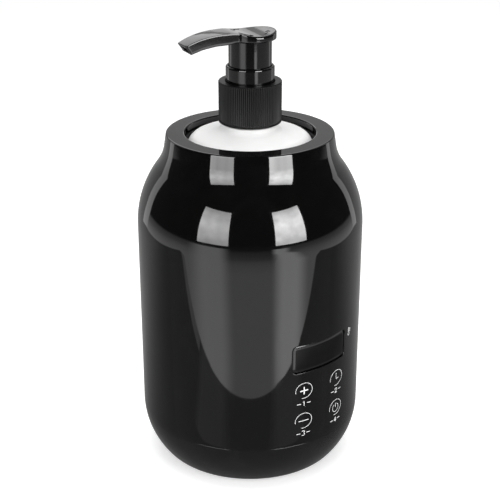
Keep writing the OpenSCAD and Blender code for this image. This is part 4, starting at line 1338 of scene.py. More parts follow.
@dataclass
class Legend:
    """The white print on the shell: four ringed keys, their numbers and a thermometer."""

    housing: Housing
    ring: Flat = (4.15, 3.7)
    stroke: float = 0.22
    fine: float = 0.32
    bold: float = 0.55
    raised: float = 0.03
    sunk: float = 0.02
    key_x: float = 9.43
    key_rows: Flat = (34.8, 49.7)
    number_drop: float = 6.3
    number_size: Flat = (1.36, 2.1)
    dash: Flat = (1.7, 3.3)
    gauge: Flat = (18.85, 68.6)
    gauge_tube: Flat = (0.31, 1.5)
    gauge_stroke: float = 0.24

    def draw(self, ink: Surface, line: Sequence[Flat], width: float) -> None:
        """Prints one stroke with round ends.

        Args:
            ink: The surface that gathers the print.
            line: The stroke's points along the side and in height.
            width: Its width.
        """
        spots = [Vector(p) for p in line]
        half = width / 2
        left: list[Vector] = []
        right: list[Vector] = []
        for i, spot in enumerate(spots):
            ahead = (spots[min(i + 1, len(spots) - 1)] - spots[max(i - 1, 0)]).normalized()
            side = Vector((-ahead.y, ahead.x)) * half
            left.append(spot + side)
            right.append(spot - side)
        rim = left + self.cap(spots[-1], spots[-1] - spots[-2], half)
        rim += right[::-1] + self.cap(spots[0], spots[0] - spots[1], half)
        wrap = self.housing.wrap
        top = ink.ring([wrap(p.x, p.y, self.raised) for p in rim])
        low = ink.ring([wrap(p.x, p.y, -self.sunk) for p in rim])
        ink.band(low, top)
        count = len(left)
        tip = len(rim) // 2 - count
        for side in (top, low):
            near, far = side[:count], [side[2 * count + tip - 1 - i] for i in range(count)]
            ends = [side[count - 1:count + tip + 1], side[2 * count + tip - 1:] + side[:1]]
            if side is low:
                near, far, ends = far, near, [end[::-1] for end in ends]
            ink.band(near, far, closed=False)
            ink.faces += [tuple(end) for end in ends]

    @staticmethod
    def cap(end: Vector, way: Vector, half: float) -> list[Vector]:
        """Rounds a stroke's end.

        Args:
            end: The end's middle.
            way: The direction in which it points.
            half: Half of the stroke's width.

        Returns:
            The points between its sides.
        """
        start = math.atan2(way.y, way.x) + math.pi / 2
        turns = [start - math.pi * k / 6 for k in range(1, 6)]
        return [end + Vector((math.cos(a), math.sin(a))) * half for a in turns]

    def bar(self, ink: Surface, start: Flat, end: Flat, width: float) -> None:
        """Prints one straight stroke."""
        middle = ((start[0] + end[0]) / 2, (start[1] + end[1]) / 2)
        self.draw(ink, [start, middle, end], width)

    def key(self, ink: Surface, centre: Flat, sign: Sign) -> None:
        """Prints one ringed key.

        Args:
            ink: The surface that gathers the print.
            centre: The key's middle.
            sign: What stands in the ring.
        """
        x, z = centre
        wide, tall = self.ring
        hoop = [(x + wide * a, z + tall * b) for a, b in arc((0.0, 0.0), 1.0, -105.0, 190.0, 56)]
        self.draw(ink, hoop, self.stroke)
        if sign is Sign.PLUS:
            self.bar(ink, (x - 1.8, z), (x + 1.8, z), self.bold)
            self.bar(ink, (x, z - 1.55), (x, z + 1.55), self.bold)
        elif sign is Sign.MINUS:
            self.bar(ink, (x - 2.4, z), (x + 2.4, z), 0.6 * self.bold)
        elif sign is Sign.CLOCK:
            heart = (x - 0.2, z - 0.4)
            self.bar(ink, (x - 0.2, z + 2.4), heart, self.stroke)
            self.bar(ink, heart, (x + 1.6, z - 0.4), self.stroke)
        else:
            self.draw(ink, arc((x, z - 0.2), 2.0, 122.0, 418.0, 32), self.stroke)
            self.bar(ink, (x, z + 2.1), (x, z + 0.1), self.stroke)

    def number(self, ink: Surface, centre: Flat, figure: int) -> None:
        """Prints a key's plain number between two dashes.

        Args:
            ink: The surface that gathers the print.
            centre: The number's middle.
            figure: The number, from 1 to 4.
        """
        x, z = centre
        w, h = (side / 2 for side in self.number_size)
        shapes: dict[int, list[list[Flat]]] = {
            1: [[(-0.35, h * 0.55), (0.1, h), (0.1, 0.0), (0.1, -h)]],
            2: [[(-w, h * 0.5), (-w * 0.5, h), (w * 0.5, h), (w, h * 0.45), (-w, -h)],
                [(-w, -h), (0.0, -h), (w, -h)]],
            3: [[(-w, h), (w * 0.6, h), (w, h * 0.5), (w * 0.3, 0.0), (w, -h * 0.5), (w * 0.5, -h),
                 (-w, -h)]],
            4: [[(0.3, -h), (0.3, 0.0), (0.3, h)], [(0.3, h), (-w, -h * 0.35), (-w, -h * 0.36)],
                [(-w, -h * 0.35), (0.0, -h * 0.35), (w * 1.2, -h * 0.35)]],
        }
        for line in shapes[figure]:
            self.draw(ink, [(x + dx, z + dz) for dx, dz in line], self.fine)
        near, far = self.dash
        for side in (-1, 1):
            self.bar(ink, (x + side * near, z), (x + side * far, z), self.fine)

    def thermometer(self, ink: Surface) -> None:
        """Prints the small thermometer beside the window.

        Args:
            ink: The surface that gathers the print.
        """
        x, z = self.gauge
        half, top = self.gauge_tube
        self.draw(ink, arc((x, z - 1.1), 2 * half, 120.0, 420.0, 20), 0.26)
        for side in (-half, half):
            self.bar(ink, (x + side, z - 0.56), (x + side, z + top), self.gauge_stroke)
        self.draw(ink, arc((x, z + top), half, 180.0, 0.0, 8), self.gauge_stroke)
        for step in (0.0, 0.6, 1.2):
            self.bar(ink, (x + 0.8, z + step), (x + 1.5, z + step), self.stroke)

    def build(self, shop: Workshop) -> None:
        """Builds and seats the print.

        Args:
            shop: The workshop that seats it.
        """
        ink = Surface()
        low, high = self.key_rows
        keys = ((-1, high, Sign.PLUS), (1, high, Sign.CLOCK), (-1, low, Sign.MINUS), (1, low, Sign.POWER))
        for figure, (side, z, sign) in enumerate(keys, 1):
            self.key(ink, (side * self.key_x, z), sign)
            self.number(ink, (side * self.key_x, z - self.number_drop), figure)
        self.thermometer(ink)
        shop.seat(ink.make("panel_print"), "warmer", Slot.INK)


@dataclass
class Well:
    """The heated cup and its felt."""

    columns: int = 144
    cup_r: float = 28.0
    cup_t: float = 1.2
    corner: float = 3.0
    core: float = 8.0
    felt_parts: tuple[int, int] = (160, 64)
    felt_gap: float = 6.0
    felt_clear: float = 0.02
    felt_wave: float = 0.16
    felt_sink: float = 0.25
    felt_edge: Flat = (0.35, 1.5)

    def cup(self) -> Piece:
        """Builds the drawn aluminium cup with its flange.

        Returns:
            The cup.
        """
        flange, floor, top = upright("heater_cup")
        outer, under, inner = self.cup_r + self.cup_t, top - self.cup_t, floor + self.cup_t
        line = [(0.0, floor)] + eased([
            (self.core, floor, 0.0), (outer, floor, self.corner + self.cup_t), (outer, under, 0.3),
            (flange, under, 0.3), (flange, top, 0.3), (self.cup_r, top, 0.8),
            (self.cup_r, inner, self.corner), (self.core, inner, 0.0),
        ], 6) + [(0.0, inner)]
        skin = Surface()
        skin.lathe(guarded(line, 0.4), self.columns, closed=False)
        return skin.make("cup_skin", 50.0)

    def felt(self) -> Piece:
        """Builds the felt sleeve, pinched under its straps and open at the back.

        Returns:
            The felt.
        """
        outer, foot, top = upright("felt_sleeve")
        inner = upright("heater_band")[0] + self.felt_clear
        belts = [upright(name)[1:] for name in ("lower_strap", "upper_strap")]
        gap = math.asin(min(0.5, self.felt_gap / outer))
        columns, rows = self.felt_parts
        pull, near = self.felt_edge
        turns = [math.pi + gap + (2 * math.pi - 2 * gap) * i / columns for i in range(columns + 1)]
        heights = spread(foot, top, rows)
        skin = Surface()
        rings = []
        for z in heights:
            hold = max(self.pinch(z, *belt) for belt in belts)
            edge = min(1.0, min(z - foot, top - z) / near)
            spots = []
            for turn in turns:
                wave = self.felt_wave * math.sin(7 * turn + z * 0.13) * math.sin(z * 0.21 + 2 * turn)
                radius = outer + (1 - hold) * (wave - self.felt_sink) - pull * (1 - edge)
                spots.append((radius * math.sin(turn), -radius * math.cos(turn), z))
            rings.append(skin.ring(spots))
        for z in reversed(heights):
            rings.append(skin.ring([(inner * math.sin(turn), -inner * math.cos(turn), z) for turn in turns]))
        skin.loft(rings + rings[:1], closed=False)
        for end in (0, columns):
            rim = [ring[end] for ring in rings]
            skin.band(rim[:rows + 1], rim[:rows:-1], closed=False)
        return skin.make("felt_wrap", 60.0)

    @staticmethod
    def pinch(z: float, low: float, high: float) -> float:
        """Tells how firmly a strap holds the felt at a height."""
        away = max(low - z, z - high, 0.0)
        return math.exp(-(away / 3.0) ** 2)

    def build(self, shop: Workshop) -> None:
        """Builds and seats the well's pieces.

        Args:
            shop: The workshop that seats them.
        """
        shop.seat(self.cup(), "warmer", Slot.CUP, "heater_cup")
        shop.seat(self.felt(), "warmer", Slot.FELT, "felt_sleeve")


@dataclass
class Bottle:
    """The white oil bottle with its low dome and threaded neck."""

    columns: int = 192
    wall: float = 1.2
    shoulder: float = 6.0
    slope: float = 12.0
    ring: float = 12.4
    ring_foot: float = 154.4
    ring_top: float = 157.0
    neck: float = 10.8
    mouth: float = 8.6
    thread_h: float = 1.1
    thread_pitch: float = 3.18
    thread_turns: float = 1.5
    thread_drop: float = 3.6
    thread_parts: int = 120
    dent: float = 1.6
    core: float = 8.0

    def section(self) -> list[Flat]:
        """Gives the bottle's section, outside up and inside down.

        Returns:
            The section from the middle of the floor to the middle of the inner floor.
        """
        radius, floor, top = upright("bottle")
        edge = self.ring_foot - (radius - self.ring) * math.tan(math.radians(self.slope))
        dent, wall = floor + self.dent, self.wall
        outside = eased([
            (radius - 7.0, dent, 0.0), (radius - 5.6, floor, 1.4), (radius, floor, 3.2),
            (radius, edge, self.shoulder), (self.ring, self.ring_foot, 2.2),
            (self.ring, self.ring_top, 0.3), (self.neck, self.ring_top, 0.3), (self.neck, top, 0.4),
            (self.mouth, top, 0.4), (self.mouth, self.ring_foot - wall, 0.7),
            (radius - wall, edge - wall, self.shoulder - wall), (radius - wall, dent + wall, 3.0),
            (self.core, dent + wall, 0.0),
        ], 16)
        return [(0.0, dent)] + guarded(outside, 0.4) + [(0.0, dent + wall)]

    def thread(self, skin: Surface, top: float) -> None:
        """Winds the thread round the neck.

        Args:
            skin: The surface that it joins.
            top: The height of the neck's mouth.
        """
        start = top - self.thread_drop - self.thread_pitch * self.thread_turns
        path = []
        for part in spread(0.0, 1.0, self.thread_parts):
            turn = 2 * math.pi * self.thread_turns * part
            taper = min(1.0, 8 * part, 8 * (1 - part))
            reach = self.neck - 0.4 + 0.6 * taper
            path.append((reach * math.cos(turn), reach * math.sin(turn),
                         start + self.thread_pitch * self.thread_turns * part))
        skin.tube(path, self.thread_h * 0.75, 10)

    def build(self, shop: Workshop) -> None:
        """Builds and seats the bottle.

        Args:
            shop: The workshop that seats it.
        """
        skin = Surface()
        skin.lathe(self.section(), self.columns, closed=False)
        self.thread(skin, upright("bottle")[2])
        shop.seat(skin.make("bottle_skin", 50.0), "bottle", Slot.BOTTLE, "bottle")


@dataclass
class Pump:
    """The ribbed closure, lock collar, spring and spout head."""

    ribs: int = 96
    rib_depth: float = 0.55
    rib_foot: float = 0.9
    rib_fade: Flat = (0.5, 0.3)
    columns: int = 144
    rib_parts: int = 8
    closure_in: float = 12.3
    closure_gap: float = 1.45
    collar_in: float = 9.5
    skirt_r: float = 9.2
    skirt_in: float = 8.0
    plate_r: float = 10.3
    plate_u: float = -0.9
    plate_parts: int = 72
    rim: float = 193.35
    under: float = 192.7
    edges: Flat = (0.85, 0.16)
    spout_deg: float = 166.3
    spout_reach: float = 31.0
    spout_blend: float = 2.4
    end_cut: float = 2.4
    mouth: tuple[float, float, float] = (4.0, 1.6, 0.6)
    nozzle: tuple[Flat, Flat] = ((25.0, 193.6), (32.0, 190.6))
    width_line: Profile = (
        (5.0, 6.3), (9.0, 6.3), (13.0, 6.0), (18.0, 5.6), (24.0, 5.1), (31.0, 4.55),
    )
    top_line: Profile = (
        (-12.0, 197.15), (-9.0, 196.75), (-5.0, 196.15), (-1.0, 195.85), (2.0, 195.98), (4.5, 196.4),
        (7.0, 196.95), (10.0, 197.4), (13.4, 197.45), (16.5, 197.38), (20.5, 196.9), (24.0, 196.15),
        (27.3, 195.1), (29.5, 194.2), (31.2, 193.3),
    )
    low_line: Profile = (
        (-12.0, 192.7), (12.5, 192.7), (18.0, 192.45), (23.5, 191.5), (28.4, 189.9), (31.0, 188.9),
    )
    ease: tuple[int, float] = (8, 0.22)
    nose_round: float = 0.5
    cut_from: float = 22.0
    crown: float = 0.12
    arrow_r: float = 7.4
    arrow_t: float = 0.2
    arrows: Profile = ((25.0, 50.0), (-75.0, 50.0), (120.0, 40.0))
    wire: float = 0.45
    coils: float = 7.5
    dead_coils: float = 1.2
    coil_parts: int = 300

    def swung(self, u: float, v: float, z: float) -> Point:
        """Turns a place along and across the spout into the frame."""
        way = math.radians(self.spout_deg)
        return (u * math.cos(way) - v * math.sin(way), u * math.sin(way) + v * math.cos(way), z)

    def closure(self) -> Piece:
        """Builds the closure with its fine ribs.

        Returns:
            The closure.
        """
        radius, foot, top = upright("closure")
        fade, drop = self.rib_fade
        band, ridge = foot + self.rib_foot, top - drop
        hole = self.skirt_r + self.closure_gap
        outer = eased([
            (self.closure_in, foot, 0.0), (radius, foot, 0.35), (radius, band, 0.0),
            (radius, band + fade, 0.0), (radius, ridge - 0.35, 0.0), (radius, ridge, 0.0),
            (radius - 0.2, top, 0.15), (hole, top, 0.25), (hole, top - 2.0, 0.0),
            (self.closure_in, top - 2.3, 0.5),
        ])

        def ripple(r: float, z: float, turn: float) -> float:
            """Cuts the ribs' valleys into the closure's side.

            Args:
                r: The radius.
                z: The height.
                turn: The angle.

            Returns:
                The radius with the ribs.
            """
            if r < radius - 0.01 or not band < z < ridge:
                return r
            deep = min(1.0, (z - band) / fade, (ridge - z) / drop)
            return r - self.rib_depth * deep * (0.5 - 0.5 * math.cos(self.ribs * turn)) ** 0.8

        skin = Surface()
        skin.lathe(outer, self.ribs * self.rib_parts, ripple)
        piece = skin.make("closure_ribbed", 60.0)
        # Marks the rib crests, which the finish lightens as a painted highlight
        over = [max(0.0, (math.hypot(x, y) - radius) / self.rib_depth + 1.0) for x, y, _ in skin.points]
        ribbed = [band + 0.1 < z < ridge - 0.1 for *_, z in skin.points]
        mark_points(piece.data, "rim", [share ** 2 * inside for share, inside in zip(over, ribbed)])
        return piece

    def collar(self) -> Piece:
        """Builds the lock collar with its eased rim.

        Returns:
            The collar.
        """
        radius, foot, top = upright("lock_collar")
        line = eased([
            (self.collar_in, foot, 0.0), (radius, foot, 0.0), (radius, foot + 1.2, 0.0),
            (radius, top, 0.8), (self.collar_in, top, 0.3), (self.collar_in, foot + 0.5, 0.0),
        ], 8)
        skin = Surface()
        skin.lathe(guarded(line), self.columns)
        return skin.make("lock_collar_skin", 50.0)

    def level(self, line: Sequence[Flat], u: float) -> float:
        """Reads a height line with eased corners.

        Args:
            line: The line as reach and height.
            u: The reach from the pump's axis.

        Returns:
            The height there.
        """
        total = weight = 0.0
        count, step = self.ease
        for k in range(-count, count + 1):
            spot = u + k * step
            share = math.cos(k / (count + 1) * math.pi / 2) ** 2
            part = next((i for i, (end, _) in enumerate(line) if i and spot <= end), len(line) - 1)
            (a, za), (b, zb) = line[part - 1:part + 1]
            total += share * (za + (zb - za) * (spot - a) / (b - a))
            weight += share
        return total / weight

    def plan(self) -> list[tuple[Flat, float]]:
        """Gives one half of the head's outline seen from above, from back to tip.

        Returns:
            The points as reach and half width, each with the reach that it draws in towards.
        """
        corner = self.nose_round
        half, waist = self.width_line[-1][1], self.width_line[0][1]
        centre_v = waist + self.spout_blend
        centre_u = self.plate_u + math.sqrt((self.plate_r + self.spout_blend) ** 2 - centre_v ** 2)
        meet = math.degrees(math.atan2(centre_v, centre_u - self.plate_u))
        heart = self.spout_reach - half
        back = arc((self.plate_u, 0.0), self.plate_r, 180.0, meet, self.plate_parts)
        line = [(spot, self.plate_u) for spot in back]
        blend = arc((centre_u, centre_v), self.spout_blend, 180.0 + meet, 270.0, 24)
        line += list(zip(blend, spread(self.plate_u, centre_u, 24)))[1:]
        for u in spread(centre_u, self.spout_reach - corner, 28)[1:]:
            line.append(((u, self.level(self.width_line, u)), min(u, heart)))
        nose = arc((self.spout_reach - corner, half - corner), corner, 90.0, 0.0, 5)[1:]
        nose += [(self.spout_reach, (half - corner) * (1 - k / 4)) for k in range(1, 5)]
        return line + [(spot, heart) for spot in nose]

    def edge(self, u: float) -> float:
        """Gives how round the top's edge is at a reach."""
        plate, spout = self.edges
        return plate + (spout - plate) * smooth(u, 1.0, 9.0)

    def top(self, drop: float) -> Height:
        """Gives the dished and crowned top.

        Args:
            drop: The share of its edge by which it is lowered.

        Returns:
            The height by reach and place across.
        """
        def height(u: float, v: float) -> float:
            """Crowns the spout across its width."""
            crown = self.crown * smooth(u, 6.0, 15.0) * min(1.2, (v / 5.0) ** 2)
            return self.level(self.top_line, u) - crown - drop * self.edge(u)
        return height

    def foot(self, rise: float, plate: float) -> Height:
        """Gives the underside.

        Args:
            rise: How far it lies above the spout's lower line.
            plate: Its height, from the rim, under the plate.

        Returns:
            The height by reach and place across.
        """
        def height(u: float, v: float) -> float:
            """Blends the plate's underside into the spout's."""
            share = smooth(u, 8.5, 12.5)
            return (self.level(self.low_line, u) + rise) * share + (self.rim + plate) * (1 - share)
        return height

    def side(self, part: float) -> Height:
        """Gives a line on the side, at a part of the way from its upper to its lower edge."""
        high, low = self.top(1.0), self.foot(0.45, 0.35)
        return lambda u, v: high(u, v) * (1 - part) + low(u, v) * part

    def head(self) -> Piece:
        """Builds the head: skirt, thumb plate and drooping spout with its nozzle.

        Returns:
            The head.
        """
        half = self.plan()
        outline = [(Vector((u, v)), Vector((to, 0.0))) for (u, v), to in half]
        outline += [(Vector((u, -v)), Vector((to, 0.0))) for (u, v), to in half[-2:0:-1]]

        def spot(rim: Vector, heart: Vector, inset: float, height: Height, cut: float) -> Point:
            """Places one point of a ring.

            Args:
                rim: The outline's point.
                heart: The place that it draws in towards.
                inset: How far it draws in.
                height: The ring's height.
                cut: The ring's share of the end cut.

            Returns:
                The point.
            """
            flat = rim + (heart - rim).normalized() * inset
            slide = max(0.0, min(1.0, (flat.x - self.cut_from) / (self.spout_reach - self.cut_from)))
            u = flat.x - self.end_cut * cut * slide
            v = flat.y * self.level(self.width_line, u) / self.level(self.width_line, flat.x)
            return self.swung(u, v, height(u, v))

        # Each ring's inset, its share of the edge's round, its height and its share of the end cut
        rings = [(inset, share, self.top(0.0), 0.0)
                 for inset, share in ((3.6, 0.0), (2.4, 0.0), (1.5, 0.0), (0.3, 1.0))]
        for turn in (0.0, 22.5, 45.0, 67.5, 90.0):
            a = math.radians(turn)
            rings.append((0.0, 1 - math.sin(a), self.top(1 - math.cos(a)), 0.02))
        for inset, part, cut in ((0.0, 0.12, 0.1), (0.0, 0.4, 0.37), (0.0, 0.75, 0.7), (0.02, 1.0, 0.88)):
            rings.append((inset, 0.0, self.side(part), cut))
        for inset, rise, plate, cut in ((0.14, 0.2, 0.14, 0.94), (0.38, 0.05, 0.0, 0.98),
                                        (0.8, 0.0, -0.25, 1.0), (1.4, 0.0, -0.5, 1.0),
                                        (2.0, 0.0, -0.65, 1.0)):
            rings.append((inset, 0.0, self.foot(rise, plate), cut))
        skin = Surface()
        made = []
        for inset, share, height, cut in rings:
            made.append(skin.ring([
                spot(rim, heart, inset + share * self.edge(rim.x), height, cut) for rim, heart in outline
            ]))
        skin.loft(made)
        for ring in (made[0], made[-1]):
            skin.close(ring)
        piece = skin.make("pump_head_skin", 34.0)
        self.bore(piece)
        self.add_skirt(piece)
        return piece

    def bore(self, piece: Piece) -> None:
        """Cuts the nozzle into the spout's end.

        Args:
            piece: The head.
        """
        (u0, z0), (u1, z1) = self.nozzle
        wide, tall, corner = self.mouth
        slope = math.atan2(z1 - z0, u1 - u0)
        section = []
        for x, y, turn in ((1, 1, 0), (-1, 1, 90), (-1, -1, 180), (1, -1, 270)):
            section += arc((x * (wide - corner), y * (tall - corner)), corner, turn, turn + 90.0, 6)
        drill = Surface()
        rings = []
        for u, z in zip(spread(u0, u1, 2), spread(z0, z1, 2)):
            rings.append(drill.ring([
                self.swung(u - up * math.sin(slope), v, z + up * math.cos(slope)) for v, up in section
            ]))
        drill.loft(rings)
        drill.faces += [tuple(rings[0]), tuple(rings[-1])]
        tool = drill.make("nozzle_drill")
        cut = piece.modifiers.new("nozzle", "BOOLEAN")
        cut.operation = "DIFFERENCE"
        cut.solver = "EXACT"
        cut.object = tool
        posed = piece.evaluated_get(bpy.context.evaluated_depsgraph_get())
        shaped = bpy.data.meshes.new_from_object(posed)
        piece.modifiers.clear()
        piece.data = shaped
        bpy.data.objects.remove(tool)

    def add_skirt(self, piece: Piece) -> None:
        """Adds the skirt below the plate and the turn arrows on its top.

        Args:
            piece: The head.
        """
        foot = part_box("pump_head")[0].z / MM
        skin = Surface()
        line = eased([
            (self.skirt_in, self.under + 0.8, 0.0), (self.skirt_in, foot, 0.2), (self.skirt_r, foot, 0.35),
            (self.skirt_r, self.under + 0.4, 0.0), (self.skirt_r - 1.0, self.under + 0.8, 0.0),
        ])
        skin.lathe(guarded(line), self.columns)
        for turn, sweep in self.arrows:
            self.arrow(skin, turn, sweep)
        extra = skin.make("skirt", 38.0)
        whole = bmesh.new()
        whole.from_mesh(piece.data)
        whole.from_mesh(extra.data)
        whole.to_mesh(piece.data)
        whole.free()
        bpy.data.objects.remove(extra)

    def arrow(self, skin: Surface, start: float, sweep: float) -> None:
        """Raises one turn arrow on the plate.

        Args:
            skin: The surface that it joins.
            start: Its first angle in degrees from the spout.
            sweep: How far it turns.
        """
        def lifted(turn: float, radius: float) -> Point:
            """Places a point on the dished plate, slightly sunk."""
            u, v = radius * math.cos(math.radians(turn)), radius * math.sin(math.radians(turn))
            return self.swung(u, v, self.level(self.top_line, u) - 0.03)

        path = [lifted(turn, self.arrow_r) for turn in spread(start, start + sweep, 14)]
        skin.tube(path, self.arrow_t, 8)
        for side in (-1, 1):
            back = lifted(start + sweep - 10.0, self.arrow_r + side * 0.9)
            skin.tube([back, tuple((Vector(back) + Vector(path[-1])) / 2), path[-1]], self.arrow_t, 8)

    def spring(self, shop: Workshop) -> None:
        """Builds the return spring at its rest length.

        Args:
            shop: The workshop that seats it.
        """
        low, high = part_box("return_spring")
        wire, dead = self.wire, self.dead_coils / self.coils
        radius = high.x / MM - wire
        foot, top = low.z / MM + wire, high.z / MM - wire
        path = []
        for part in spread(0.0, 1.0, self.coil_parts):
            rise = max(0.0, min(1.0, (part - dead) / (1 - 2 * dead)))
            lift = 2 * wire * (min(1.0, part / dead) - 1 + max(0.0, (part - 1 + dead) / dead))
            angle = 2 * math.pi * self.coils * part
            z = foot + 2 * wire + (top - foot - 4 * wire) * rise + lift
            path.append((radius * math.cos(angle), radius * math.sin(angle), z))
        coil = Surface()
        coil.tube(path, wire, 10)
        piece = shop.seat(coil.make("spring_coil"), "pump", Slot.SPRING, "return_spring")
        stroke = next(j for j in frame["joints"] if j["name"] == "head_press")["range_m"][1] / MM
        length = (high.z - low.z) / MM
        (length - stroke) / length
        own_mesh(piece)

    def build(self, shop: Workshop) -> None:
        """Builds and seats the pump's pieces.

        Args:
            shop: The workshop that seats them.
        """
        shop.seat(self.closure(), "closure", Slot.CLOSURE, "closure")
        shop.seat(self.collar(), "pump", Slot.COLLAR, "lock_collar")
        shop.seat(self.head(), "head", Slot.HEAD, "pump_head")
        self.spring(shop)


# Stage, lights and camera

@dataclass(frozen=True)
class Glow(Finish):
    """A card that shines on both sides, with soft patches, a fall-off and soft sides."""

    level: float = 1.0
    uneven: float = 0.1
    patch: float = 180.0
    fade: Profile = ()
    along: Point | None = None
    soft: Flat | None = None

    def shader(self, graph: Graph) -> Signal:
        """Builds the glow.

        Args:
            graph: The finish's graph.

        Returns:
            The shader.
        """
        place = graph.place()
        tone: Signal | Colour = grey(self.fade[0][1] if self.fade else 1.0)
        for (near, _), (far, share) in zip(self.fade, self.fade[1:]):
            tone = graph.mix(graph.reach(place, self.along).ramp(near, far), tone, grey(share))
        colour = graph.mix(graph.noise(place, self.patch) * self.uneven, tone, grey(0.0))
        shine = graph.node("ShaderNodeEmission", inputs={"Color": colour, "Strength": self.level})
        if self.soft is None:
            return shine
        across, (first, last) = graph.mark("across"), self.soft
        whole = across.ramp(0.0, first) * (1.0 - across.ramp(1.0 - last, 1.0))
        clear = graph.node("ShaderNodeBsdfTransparent")
        return graph.node("ShaderNodeMixShader", inputs={0: whole, 1: clear, 2: shine})


@dataclass(frozen=True)
class PaleFloor(Finish):
    """A pale matt floor that keeps a soft shadow and is clear from below."""

    colour: Colour = grey(0.86)
    pale: Colour = grey(0.88)
    fleck: float = 2.0
    glow: float = 0.5
    far: Flat = (500.0, 1200.0)

    def shader(self, graph: Graph) -> Signal:
        """Builds the floor.

        Args:
            graph: The finish's graph.

        Returns:
            The shader.
        """
        place = graph.place()
        fleck = graph.noise(place, self.fleck, detail=3.0)
        top = graph.surface({
            "Base Color": graph.mix(fleck, self.colour, self.pale),
            "Roughness": 0.9,
            "Specular IOR Level": 0.0,
            "Emission Color": grey(1.0),
            "Emission Strength": self.glow,
        })
        white = graph.node("ShaderNodeEmission", inputs={"Color": grey(1.0), "Strength": 1.0})
        faded = graph.reach(place).ramp(*self.far) * graph.seen()
        top = graph.node("ShaderNodeMixShader", inputs={0: faded, 1: top, 2: white})
        clear = graph.node("ShaderNodeBsdfTransparent")
        below = graph.node("ShaderNodeNewGeometry", output="Backfacing")
        return graph.node("ShaderNodeMixShader", inputs={0: below, 1: top, 2: clear})


